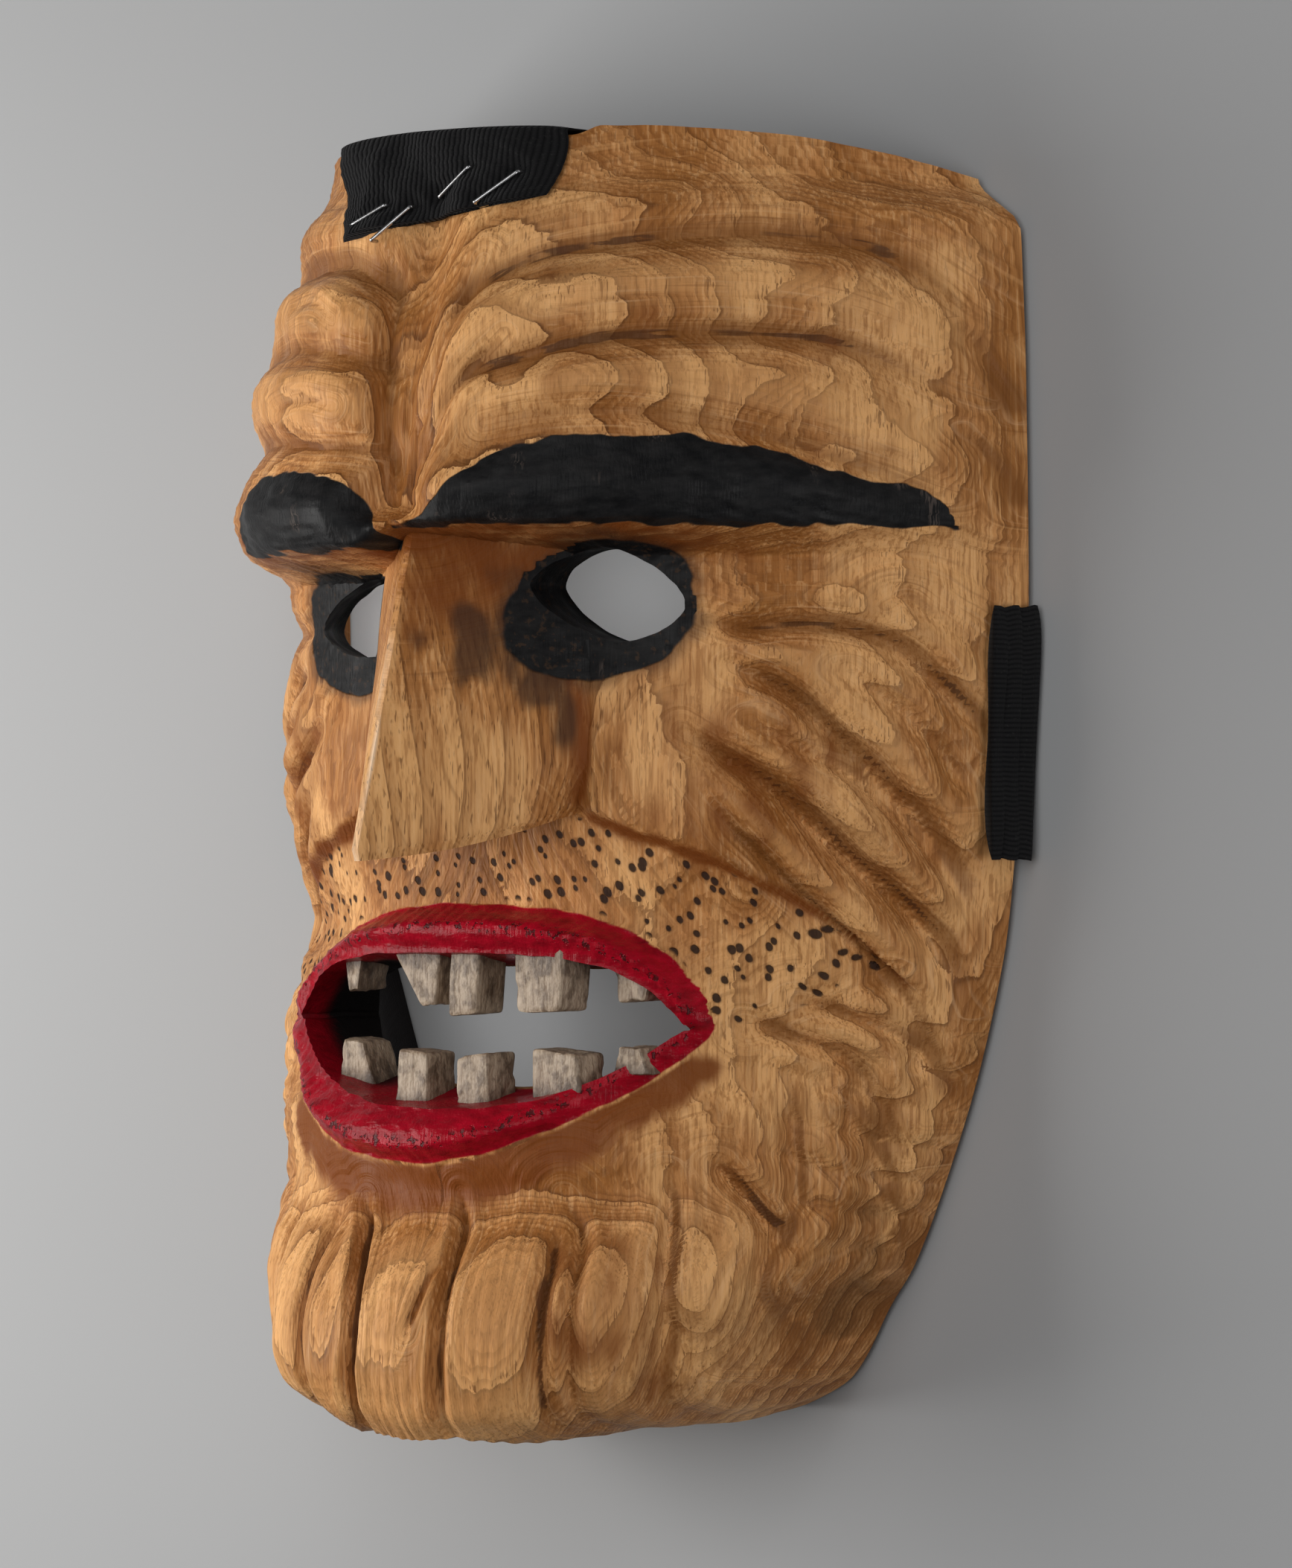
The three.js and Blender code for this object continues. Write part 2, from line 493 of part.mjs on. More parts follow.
// Outside of the rim wall at a height, found by walking in from the rim
function rimWall(side, y, z) {
  const half = curve(HALF, y);
  let x = half;
  while (x > half * 0.8 && faceHeight(side * x, y) < z) x -= 0.05;
  return x;
}
function sideBand() {
  const off = BAND_THICK / 2 + GAP;
  const floor = -off;
  const edges = [0, 0.25, 0.5, 0.75, 1];
  const clear = 1;
  const bandY = (edge, x) => {
    const drop = SIDE_BAND.leftDrop * clamp01((SIDE_BAND.half - x) / (2 * SIDE_BAND.half));
    const sag = SIDE_BAND.sag * (1 - clamp01(Math.abs(x) / SIDE_BAND.half) ** 2);
    return THREE.MathUtils.lerp(SIDE_BAND.lowY, SIDE_BAND.highY, edge) - drop - sag;
  };
  const wrap = (side) => [SIDE_BAND.reach, 8, 4, 1].map((z) => (edge) => {
    const y = bandY(edge, side * SIDE_BAND.half);
    const x = side * (rimWall(side, y, z) + off + clear + SIDE_BAND.flare * (1 - edge) ** 4);
    return { spot: new THREE.Vector3(x, y, z), out: new THREE.Vector3(side, 0, 0.15).normalize() };
  });
  const turn = (side) => (edge) => {
    const y = bandY(edge, side * SIDE_BAND.half);
    const x = side * (rimWall(side, y, 0) + off * 0.72);
    return { spot: new THREE.Vector3(x, y, floor * 0.72), out: new THREE.Vector3(side, 0, -1).normalize() };
  };
  const flat = (x) => (edge) => {
    return { spot: new THREE.Vector3(x, bandY(edge, x), floor), out: new THREE.Vector3(0, 0, -1) };
  };
  const flats = [];
  for (let x = -SIDE_BAND.half; x <= SIDE_BAND.half; x += 15) flats.push(flat(x));
  return bandGeometry([...wrap(-1), turn(-1), ...flats, turn(1), ...wrap(1).reverse()], edges, BAND_THICK);
}

// Stapled on the forehead, over the top edge and down inside to the band at the back. Its left side
// leans outward and stands a little off the wood.
function topStrap() {
  const { half, thick, lowerLeft, lowerRight, lift } = TOP_STRAP;
  const off = thick / 2 + GAP;
  const seat = TOP_Y - STRAP_SEAT;
  const edges = [-1, -0.6, -0.2, 0.2, 0.6, 1];
  const leftness = (edge) => ease(-0.3, -1, edge);
  const frontEnd = (x) => THREE.MathUtils.mapLinear(x, -half, half, lowerLeft, lowerRight);
  const front = (share) => (edge) => {
    const x = edge * half;
    const y = THREE.MathUtils.lerp(frontEnd(x), seat - 1.2, share);
    const lean = leftness(edge) * (3.5 - 6 * ease(0, 1, share));
    const spot = facePoint(x + lean, y);
    spot.z += off + 1.4 + lift * leftness(edge) * ease(0.35, 1, share);
    return { spot, out: new THREE.Vector3(0, 0.3, 1).normalize() };
  };
  const edgeX = (edge) => edge * half - 2.5 * leftness(edge);
  const edgeZ = (edge) => faceHeight(edgeX(edge), seat) + lift * leftness(edge);
  const outside = (edge) => {
    const spot = new THREE.Vector3(edgeX(edge), seat + off * 0.9, edgeZ(edge) + off * 0.6 + 1);
    return { spot, out: new THREE.Vector3(0, 1, 1).normalize() };
  };
  const over = (drop) => (edge) => {
    const spot = new THREE.Vector3(edgeX(edge), seat + off + 0.2, edgeZ(edge) - drop);
    return { spot, out: new THREE.Vector3(0, 1, 0) };
  };
  const hang = (y, height, shift, tilt) => (edge) => {
    const out = new THREE.Vector3(0, Math.cos(tilt), -Math.sin(tilt));
    return { spot: new THREE.Vector3(edgeX(edge) + shift, y, height), out };
  };
  const floor = -(BAND_THICK + GAP) + thick / 2;
  const stations = [front(0), front(0.35), front(0.7), front(1), outside, over(4), over(14)];
  for (const [y, z, shift, tilt] of STRAP_FALL) stations.push(hang(y, z, shift, tilt));
  for (const [y, shift] of STRAP_ON_FLOOR) stations.push(hang(y, floor, shift, Math.PI / 2));
  return bandGeometry(stations, edges, thick);
}

// One wire staple: a straight crown between two short bent ends
function staple({ x, y, length, slope }) {
  const lean = Math.atan(slope);
  const reach = new THREE.Vector3(Math.cos(lean), Math.sin(lean), 0).multiplyScalar(length / 2);
  const height = TOP_STRAP.thick + GAP + STAPLE_LIFT;
  const end = (side) => {
    const spot = new THREE.Vector3(x, y, 0).addScaledVector(reach, side);
    spot.z = facePoint(spot.x, spot.y).z + height;
    return spot;
  };
  const path = new THREE.LineCurve3(end(-1), end(1));
  const section = new THREE.Shape();
  section.absarc(0, 0, STAPLE_WIRE, 0, Math.PI * 2);
  const options = { steps: 1, curveSegments: 6, extrudePath: path, bevelEnabled: false };
  return new THREE.ExtrudeGeometry(section, options);
}

// Materials and the finished group
const wood = new THREE.MeshStandardMaterial({ color: 0xb98550, roughness: 0.55, metalness: 0 });
const elastic = new THREE.MeshStandardMaterial({ color: 0x141414, roughness: 0.9, metalness: 0 });
const steel = new THREE.MeshStandardMaterial({ color: 0xb9bcc0, roughness: 0.35, metalness: 1 });

const mask = new THREE.Group();
mask.position.set(0, CENTRE_Y, RIM_LIFT);
function addPiece(name, geometry, material) {
  const mesh = new THREE.Mesh(geometry, material);
  mesh.name = name;
  mask.add(mesh);
}
addPiece("carved_mask", toGeometry(maskBody()), wood);
addPiece("side_band", toGeometry(toSolid(sideBand())), elastic);
addPiece("top_strap", toGeometry(toSolid(topStrap())), elastic);
STAPLES.forEach((place, i) => addPiece(`staple_${i + 1}`, toGeometry(toSolid(staple(place))), steel));

const part = new THREE.Group();
part.add(mask);
export default part;
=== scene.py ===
import math

import bmesh
import bpy
import numpy as np
from mathutils import Matrix, Vector, noise


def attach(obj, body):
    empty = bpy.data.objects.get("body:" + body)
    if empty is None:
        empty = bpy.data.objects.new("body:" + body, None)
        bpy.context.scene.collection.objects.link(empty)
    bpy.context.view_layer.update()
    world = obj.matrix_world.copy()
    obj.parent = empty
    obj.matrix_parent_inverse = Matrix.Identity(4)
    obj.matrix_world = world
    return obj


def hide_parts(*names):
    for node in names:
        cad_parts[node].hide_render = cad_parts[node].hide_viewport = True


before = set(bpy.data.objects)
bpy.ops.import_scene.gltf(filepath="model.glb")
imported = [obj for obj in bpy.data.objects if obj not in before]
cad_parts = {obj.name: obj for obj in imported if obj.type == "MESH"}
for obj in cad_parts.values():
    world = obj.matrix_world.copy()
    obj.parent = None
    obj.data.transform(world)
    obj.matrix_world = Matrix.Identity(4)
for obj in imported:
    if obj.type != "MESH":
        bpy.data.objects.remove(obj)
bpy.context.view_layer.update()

MM = 0.001

# The mask's own frame, in millimetres: the rim plane is z = 0 and the eyes' level is near y = 40
BAND_THICK = 2.1
GAP = 0.3
MASK_SHIFT = np.array([0.0, -1.6, BAND_THICK + GAP])
CHIN_Y = -144.5
TOP_Y = 146.4
TOP_DROP = 18.0
STRAP_SEAT = 2.1
EYES = {
    1: dict(x=34.9, y=42.0, half_width=17.2, half_height=10.4, slant=0.22, top_z=105),
    -1: dict(x=-32.2, y=37.8, half_width=17.3, half_height=8.8, slant=-0.5, top_z=82),
}
EYE_TILT = 0.13
EYE_LEVEL = 66.0
EYE_BACK_Z = 35
LENS = 1.25
LIP = dict(x=-6.5, half=61.0, mid=-54.0, rise=27.0, fall=31.0)
MOUTH = dict(x=-4.2, half=55.0, mid=-54.0, rise=16.5, fall=19.5)
MOUTH_LEVELS = (112, 30)
NOSE = dict(top_y=57.0, tip_y=-17.0, top_z=99.0, tip_z=120.5, wing_y=-5.0, root_z=62.0, ridge_x=0.9)
NOSE_WING = [(0, 36), (0.3, 36), (0.75, 37), (1, 31)]

# Half width of the rim, by height on the face
HALF = [(-146, 33), (-143, 42), (-136, 54), (-119, 64.5), (-110, 70.5), (-89, 79.6),
        (-67, 87.4), (-48, 92.5), (-33, 95.5), (-17, 97.3), (0, 98.8), (41, 101),
        (93, 100.3), (118, 99.3), (125, 98.9), (129, 96.5), (132.5, 91.5), (136, 88), (148, 86)]
# Height over the rim along the middle, roundness across and steepness of the flanks: the forehead
# is over the eyes and the face below them
BROW_DEPTH = [(50, 107), (60, 107.5), (70, 106), (85, 105), (100, 102), (120, 94), (135, 88),
              (148, 83)]
BROW_ROUND = [(50, 2.3), (66, 2.4), (90, 2.3), (112, 2.15), (125, 1.9), (148, 1.85)]
BROW_FLANK = 0.86
BROW_SAG = 5.0
FACE_DEPTH = [(-146, 93), (-138, 100), (-128, 102), (-120, 101), (-112, 97.5), (-105, 92.5),
              (-98, 87), (-91, 85.5), (-84, 87), (-76, 86), (-66, 80), (-54, 74), (-40, 71.5),
              (-28, 70), (-10, 71), (20, 72), (60, 73)]
FACE_ROUND = [(-146, 2.6), (-116, 2.5), (-103, 2.2), (-85, 1.9), (-70, 1.9), (-54, 2.3),
              (-28, 2.8), (0, 3.2), (60, 3)]
FACE_FLANK = [(-146, 0.42), (-116, 0.4), (-103, 0.46), (-85, 0.56), (-70, 0.64), (-54, 0.74),
              (-28, 0.86), (0, 0.84), (60, 0.88)]
# The left side is carved a little fuller or leaner than the right
LEFT_FLANK = [(-142, 0.69), (-130, 0.55), (-114, 0.72), (-100, 0.58), (-84, 0.66), (-60, 0.62),
              (-44, 0.84), (-31, 1.3), (-8, 1.2), (9, 1.04), (34, 1.2), (44, 1.0), (52, 0.98),
              (58, 0.98), (66, 1.02), (80, 1.14), (92, 1.06), (104, 1.22), (116, 1.2), (128, 1.02),
              (147, 0.95)]
# Height of the hollow over the rim, and thickness of the wall beside it
HOLLOW_DEPTH = [(-122, 66), (-110, 82), (-98, 79), (-84, 72), (-66, 65), (-40, 59), (-10, 58), (30, 60),
                (48, 63), (66, 88), (85, 92), (100, 89), (120, 81), (135, 76), (148, 71), (162, 66)]
HOLLOW_WALL = [(-122, 22), (-90, 18), (-50, 16), (0, 9), (60, 8.5), (162, 9)]
HOLLOW_CHIN = -120.4
HOLLOW_TOP = 159.0

# Furrows: side (1 right, -1 left, 0 both), depth, half width, how dark their painted shade is, and
# points as distance from the middle and height
FURROWS = [
    # Forehead of the right side, from the top
    (1, 2.3, 4.4, 0.9, [(12, 103), (17, 109), (26, 115.5), (40, 119.5), (60, 122), (73, 121),
                        (85, 117), (97, 103)]),
    (1, 0.8, 2.0, 0.3, [(34, 105), (50, 107), (66, 107.5), (80, 105), (92, 98)]),
    (1, 2.6, 4.4, 1.0, [(16, 86), (22, 91), (31, 94), (43, 97.5), (57, 99), (72, 99), (82, 96.5),
                        (97, 85)]),
    (1, 1.7, 3.2, 0.7, [(24, 79), (34, 81), (48, 82), (58, 80.5), (70, 77), (83, 71), (94, 64)]),
    (1, 2.2, 2.4, 0.45, [(94, 103), (98, 91), (100, 82)]),
    (1, 2.2, 2.6, 0.45, [(95, 80), (99, 69), (101, 61)]),
    # Pinch over the nose and the flutes that spread from it
    (1, 3.0, 1.3, 1.0, [(4.6, 80), (4.2, 70), (3, 60)]),
    (1, 1.3, 2.2, 0.6, [(5, 74), (9, 88), (13, 101), (17, 116)]),
    (1, 1.2, 2.0, 0.5, [(7, 67), (13, 80), (19, 91), (27, 99)]),
    (1, 0.9, 1.6, 0.4, [(1, 70), (2, 88), (4, 106), (8, 122)]),
    # Knotted forehead of the left side
    (-1, 3.4, 4.2, 0.5, [(4, 108), (12, 113), (22, 117), (36, 118), (52, 118), (70, 115)]),
    (-1, 2.0, 4.0, 0.5, [(2, 91), (10, 94), (20, 96.5), (38, 98), (56, 97), (75, 91)]),
    (-1, 2.2, 3.6, 0.5, [(3, 73), (12, 74.5), (27, 75.5), (43, 77), (60, 77), (78, 72)]),
    (-1, 1.2, 2.4, 0.3, [(20, 104), (30, 108), (44, 107)]),
    (-1, 1.2, 2.4, 0.3, [(16, 84), (28, 86), (42, 84)]),
    (-1, 1.6, 2.2, 0.5, [(1, 62), (4, 76), (5, 92), (6, 108), (12, 122)]),
    # Temples: folds that run from the eye's corner round to the rim
    (1, 1.6, 2.4, 0.7, [(85, 39.5), (87, 42), (90, 38.6), (93, 35), (96, 29.4), (97.5, 24)]),
    (1, 3.3, 3.0, 0.9, [(55, 37), (61.6, 34.6), (70.8, 35.5), (78.5, 34.7), (84.8, 32), (89, 26.6),
                        (94.6, 15.6), (97, 8)]),
    (-1, 1.4, 3.0, 0.5, [(55, 37), (61.6, 34.6), (78.5, 34.7), (89, 26.6), (94.6, 15.6), (97, 8)]),
    (0, 2.3, 2.3, 0.5, [(79.6, 25.5), (84.7, 19), (87.8, 15), (91.6, 6), (94, -4)]),
    (0, 4.2, 2.8, 1.0, [(61, 26), (67.5, 22.6), (72, 18), (77, 11), (82, 4.4), (85, -2), (88, -8),
                        (93, -22)]),
    (0, 2.8, 2.4, 0.5, [(64, 14), (72, 8), (80, 1), (86, -9), (91, -23), (94, -40)]),
    (0, 4.6, 3.1, 1.0, [(51, 12), (58, 7), (67, 0), (73, -8), (79, -18), (84, -26), (88, -36),
                        (90, -52)]),
    (0, 2.9, 2.9, 0.6, [(54, 2), (63, -13), (70, -23), (76, -32), (80, -41), (84, -53), (86, -66)]),
    (-1, 2.6, 2.0, 0.8, [(66, 14), (72, 6), (75, -3)]),
    # Round the corner of the mouth and down the jaw
    (0, 1.2, 3.0, 0.2, [(83, -41), (75, -47), (67, -51.5), (60, -55)]),
    (1, 2.6, 2.4, 0.5, [(59, -52.5), (66, -56), (74, -61), (78, -70), (79, -84)]),
    (1, 2.6, 2.4, 0.5, [(68, -48), (77, -53), (82, -58), (84, -64), (84, -76)]),
    (1, 2.2, 2.4, 0.4, [(66, -64), (67.5, -78), (67, -92), (64, -106), (61, -118), (56, -130)]),
    (1, 2.2, 2.4, 0.4, [(72, -66), (75, -76), (76, -88), (72, -104), (65, -118), (58, -132)]),
    (1, 3.0, 1.9, 1.0, [(56, -84), (60, -91), (65, -101)]),
    # Between the locks of the beard
    (1, 2.6, 1.6, 0.9, [(5, -91), (8.6, -106), (11, -123), (10, -143)]),
    (1, 2.0, 1.5, 1.0, [(29, -98), (32, -110), (32, -126), (30, -143)]),
    (1, 2.0, 1.5, 0.6, [(29, -91), (36.5, -106), (37.5, -124), (34, -143)]),
    (1, 2.6, 1.8, 0.7, [(48, -86), (50, -100), (52.5, -114), (49, -128), (43, -142)]),
    (1, 1.4, 1.2, 0.9, [(6, -106), (4.5, -113), (2.5, -121)]),
    (-1, 3.4, 1.7, 1.0, [(23, -94), (18, -105), (13, -121), (15, -143)]),
    (-1, 2.2, 1.6, 0.9, [(31, -97), (32, -112), (31, -127), (29, -142)]),
    (-1, 2.4, 2.2, 0.6, [(48, -94), (49, -110), (47, -126), (43, -140)]),
]
LOCK_EDGES = np.array([-82, -64, -48, -31, -15, 9.5, 33.5, 52, 66, 82])
MUZZLE_EDGE = [(26, -6), (40, -11), (56, -17), (68, -25), (78, -36), (84, -46)]

# Camera: 35 degrees round from the front, level with the middle of the face
VIEW_TURN = math.radians(35)
CAMERA_SPOT = (800.1, 0.0, 1148.8)
PHOTO_HEIGHT = 2107
FOCAL_PIXELS = 8000
SENSOR = 24.0


# Plain number helpers
def clamp01(value):
    return np.clip(value, 0.0, 1.0)


def ease(start, end, value):
    t = clamp01((np.asarray(value, float) - start) / (end - start))
    return t * t * (3 - 2 * t)


def bell(value, middle, spread):
    return np.exp(-((value - middle) / spread) ** 2)


def unit(vectors):
    return vectors / np.linalg.norm(vectors, axis=-1, keepdims=True)


def curve(stations, at):
    """A smooth curve through stations that never overshoots them."""
    table = np.array(stations, float)
    x, v = table[:, 0], table[:, 1]
    at = np.clip(np.asarray(at, float), x[0], x[-1])
    rise = np.diff(v) / np.diff(x)
    slope = np.concatenate([rise[:1], np.zeros(len(x) - 2), rise[-1:]])
    for i in range(1, len(x) - 1):
        if rise[i - 1] * rise[i] > 0:
            slope[i] = 2 * rise[i - 1] * rise[i] / (rise[i - 1] + rise[i])
    i = np.clip(np.searchsorted(x, at, side="right") - 1, 0, len(x) - 2)
    span = x[i + 1] - x[i]
    s = (at - x[i]) / span
    start = v[i] * (1 + 2 * s) * (1 - s) ** 2 + slope[i] * span * s * (1 - s) ** 2
    return start + v[i + 1] * s * s * (3 - 2 * s) + slope[i + 1] * span * s * s * (s - 1)


def smooth_rows(rows, steps):
    """Rows of points, with rows on a smooth curve added between them."""
    rows = np.asarray(rows, float)
    ends = np.concatenate([2 * rows[:1] - rows[1:2], rows, 2 * rows[-1:] - rows[-2:-1]])
    out = []
    for a, b, c, d in zip(ends, ends[1:], ends[2:], ends[3:]):
        for k in range(steps):
            t = k / steps
            out.append(0.5 * (2 * b + (c - a) * t + (2 * a - 5 * b + 4 * c - d) * t * t
                              + (3 * b - a - 3 * c + d) * t ** 3))
    out.append(rows[-1])
    return np.array(out)


def path_distance(path, x, y):
    """Distance to a path in the plane, and the share of the path at the nearest point."""
    best = np.full(np.shape(x), 1e9)
    along = np.zeros(np.shape(x))
    count = len(path) - 1
    for i, (p, q) in enumerate(zip(path, path[1:])):
        edge = q - p
        s = clamp01(((x - p[0]) * edge[0] + (y - p[1]) * edge[1]) / (edge @ edge))
        gap = np.hypot(x - p[0] - s * edge[0], y - p[1] - s * edge[1])
        nearer = gap < best
        best = np.where(nearer, gap, best)
        along = np.where(nearer, (i + s) / count, along)
    return best, along


# The carved face
def lip_inset(x, y):
    """How far a place is inside the lips' outline, measured up or down."""
    left = x < LIP["x"]
    t = np.abs(x - LIP["x"]) / LIP["half"]
    inner = np.minimum(t, 1)
    arch = (1 - inner ** np.where(left, 2.2, 3.4)) ** np.where(left, 0.7, 0.6)
    upper = LIP["mid"] + LIP["rise"] * arch - y
    lower = y - LIP["mid"] + LIP["fall"] * (1 - inner ** np.where(left, 2.4, 1.8)) ** 0.8
    return np.where(t < 1, np.minimum(upper, lower), -np.abs(y - LIP["mid"]) - 60 * (t - 1))


def mouth_edge(x, half, sign):
    """Height of the opening's edge over the middle of the mouth."""
    t = clamp01(np.abs(x - MOUTH["x"]) / half)
    if sign > 0:
        return MOUTH["rise"] * (1 - t ** 6) ** 0.8
    return -MOUTH["fall"] * (1 - t ** 3.6) ** 0.9


def mouth_inset(x, y):
    upper = MOUTH["mid"] + mouth_edge(x, MOUTH["half"], 1) - y
    lower = y - MOUTH["mid"] - mouth_edge(x, MOUTH["half"], -1)
    return np.minimum(upper, lower)


def face_height(x, y):
    """Height over the rim, without the nose and the furrows."""
    far = np.abs(x)
    r = clamp01(far / curve(HALF, y))
    hand = np.where(x < 0, curve(LEFT_FLANK, y), 1.0)
    brow = curve(BROW_DEPTH, y) * (1 - r ** curve(BROW_ROUND, y)) ** (BROW_FLANK * hand)
    face = curve(FACE_DEPTH, y) * (1 - r ** curve(FACE_ROUND, y)) ** (curve(FACE_FLANK, y) * hand)
    off_rim = ease(1, 0.82, r)
    lower = BROW_SAG * ease(2, -9, x)
    roll = 4 * bell(y + lower, 66, 7.5) * off_rim * ease(3, 16, far)
    notch = -7 * bell(x, 0, 9) * ease(56, 62, y) * ease(150, 120, y)
    over_muzzle = y - curve(MUZZLE_EDGE, far)
    cheek = 3.6 * bell(np.maximum(over_muzzle, 0), 0, 26) * ease(-1.5, 2.5, over_muzzle)
    cheek = cheek * ease(20, 34, far) * ease(50, 30, y) * off_rim
    inset = lip_inset(x, y)
    proud = np.where(y > LIP["mid"], 8.0, 4.5) * ease(0, 4.5, inset)
    proud = proud * (0.55 + 0.45 * ease(60, 44, far)) * (0.62 + 0.38 * ease(0.5, -4.5, mouth_inset(x, y)))
    lips = np.where(inset > 0, proud, 0.0)
    is_brow = ease(50.5, 58.5, y + lower)
    return (brow + roll + notch) * is_brow + (face + cheek) * (1 - is_brow) + lips


FURROW_PATHS = [(*furrow[:4], smooth_rows(furrow[4], 6)) for furrow in FURROWS]
FAR_AWAY = 1e9


def furrow_fields(x, y):
    """Depth of the furrows, how dark the painted shade along them is, and which lane beside a furrow a place
    is in.
    """
    far = np.abs(x)
    depth = np.zeros_like(far)
    dark = np.zeros_like(far)
    lane = np.full_like(far, FAR_AWAY)
    for side, deep, half, line_shade, path in FURROW_PATHS:
        here = {0: True, 1: x >= 0, -1: x < 0}[side]
        gap, along = path_distance(path, far, y)
        taper = 0.25 + 0.75 * ease(0, 0.18, along) * ease(1, 0.82, along)
        cut = -0.72 * deep * bell(gap, 0, half) - 0.28 * deep * bell(gap, 0, 0.32 * half)
        cut = cut + 0.28 * deep * bell(gap, 2.0 * half, 1.1 * half)
        depth += np.where(here, cut * taper, 0.0)
        dark = np.maximum(dark, np.where(here, line_shade * taper * clamp01(1.3 - gap / 2.5), 0.0))
        lane = np.minimum(lane, np.where(here, gap, FAR_AWAY))
    return depth, dark, lane


def lock_dome(x):
    """Half width of the beard's lock at a place, and a dome that is 0 at its edges and 1 at its middle."""
    i = np.clip(np.searchsorted(LOCK_EDGES, x, side="right") - 1, 0, len(LOCK_EDGES) - 2)
    half = (LOCK_EDGES[i + 1] - LOCK_EDGES[i]) / 2
    across = (x - (LOCK_EDGES[i] + LOCK_EDGES[i + 1]) / 2) / half
    return half, 1 - across ** 2


def swelling(x, y):
    """Swellings of the forehead between furrows, and rounded locks of the beard."""
    far = np.abs(x)
    high = curve([(0, 98), (20, 102), (58, 110), (90, 104), (100, 95)], far)
    low = curve([(0, 80), (20, 86), (58, 90), (90, 80), (100, 75)], far)
    right = 0.8 * bell(y, high, 8) + 0.8 * bell(y, low, 6)
    left = 1.5 * bell(y, 107, 8) + 1.6 * bell(y, 88, 8) - 3.0 * bell(x, -88, 12) * bell(y, 43, 8)
    folds = np.where(x < 0, left, right) * ease(6, 22, far)
    half, dome = lock_dome(x)
    locks = 0.14 * half * dome * ease(-90, -110, y) * ease(74, 60, far)
    return folds + locks


def soft_noise(points, scale, seed=0.0):
    """Perlin noise at points in millimetres, for features of the given size along each axis."""
    spots = np.asarray(points, float) / scale + np.array([seed, -seed, 0.5 * seed])
    values = [noise.noise(Vector(spot)) for spot in spots.reshape(-1, 3)]
    return np.reshape(values, spots.shape[:-1])


def scallops(far, y):
    """Regular scallops down the jaw, from 0 to 1."""
    return np.abs(np.sin((y + 0.55 * (far - 70)) * math.pi / 9.5))


def face_points(x, y):
    """The carved front, as an array of points."""
    step = 0.4
    far = np.abs(x)
    z = face_height(x, y)
    slope_x = (face_height(x + step, y) - face_height(x - step, y)) / (2 * step)
    slope_y = (face_height(x, y + step) - face_height(x, y - step)) / (2 * step)
    normal = unit(np.stack([-slope_x, -slope_y, np.ones_like(z)], -1))
    points = np.stack([x, y, z], -1)
    depth, _, lane = furrow_fields(x, y)
    hand = 0.50 * soft_noise(points, 10.0, 3.1) + 0.22 * soft_noise(points, 4.2, 7.7)
    gouge = 0.16 * np.sin(lane * 2.3 + 5 * soft_noise(points, 17.0, 1.3)) * ease(0.6, 2.5, lane)
    jaw = ease(62, 72, far) * ease(-52, -64, y)
    ripples = 0.45 * np.sin((curve(HALF, y) - far) * 2 * math.pi / 5.6 + 1.2 * np.sin(y / 9.0)) * jaw
    jaw_edge = ease(60, 68, far) * ease(-50, -58, y) * ease(-112, -98, y)
    ripples = ripples + 0.9 * (scallops(far, y) - 0.6) * jaw_edge
    relief = (depth + swelling(x, y) + ripples) * ease(3, 18, z)
    relief = relief + (hand + gouge) * ease(0, 6, z)
    return points + normal * relief[..., None]


# Meshes
def show(name, data):
    """An object of the scene that shows a mesh, a light or a camera."""
    piece = bpy.data.objects.new(name, data)
    bpy.context.scene.collection.objects.link(piece)
    return piece


def new_object(name, points, faces):
    """A mesh object from points in the mask's frame, in millimetres."""
    mesh = bpy.data.meshes.new(name)
    spots = (np.asarray(points, float).reshape(-1, 3) + MASK_SHIFT) * MM
    mesh.from_pydata(spots.tolist(), [], faces)
    return show(name, mesh)


def store(mesh, name, values):
    """Keep a number for each point of a mesh."""
    layer = mesh.attributes.new(name, "FLOAT", "POINT")
    layer.data.foreach_set("value", np.asarray(values, np.float32))


def outward(piece):
    """Turn every face of a closed mesh outward."""
    shape = bmesh.new()
    shape.from_mesh(piece.data)
    bmesh.ops.recalc_face_normals(shape, faces=shape.faces)
    if shape.calc_volume(signed=True) < 0:
        bmesh.ops.reverse_faces(shape, faces=shape.faces)
    shape.to_mesh(piece.data)
    shape.free()


def closed_tube(name, rings, start, end):
    """A closed skin over rings of equal length, drawn to a point at both ends."""
    rings = np.asarray(rings, float)
    rows, around = rings.shape[:2]
    points = np.vstack([rings.reshape(-1, 3), start, end])
    first, last = rows * around, rows * around + 1
    faces = []
    for row in range(rows - 1):
        for k in range(around):
            nxt = (k + 1) % around
            low, high = row * around, (row + 1) * around
            faces.append((low + k, low + nxt, high + nxt, high + k))
    for k in range(around):
        nxt = (k + 1) % around
        faces.append((first, nxt, k))
        faces.append((last, (rows - 1) * around + k, (rows - 1) * around + nxt))
    piece = new_object(name, points, faces)
    outward(piece)
    return piece


def boolean(target, tool, operation):
    change = target.modifiers.new("change", "BOOLEAN")
    change.operation = operation
    change.object = tool
    change.solver = "MANIFOLD"
    bpy.context.view_layer.objects.active = target
    bpy.ops.object.modifier_apply(modifier=change.name)
    bpy.data.objects.remove(tool)


def top_edge(x):
    """How far the top edge lies below its highest level: it falls to the sides and is cut for the strap."""
    fall = TOP_DROP * clamp01((np.abs(x) - 25) / 75) ** 3.7
    return fall + STRAP_SEAT * ease(33.5, 28.5, np.where(x < 0, -x - 5, x))


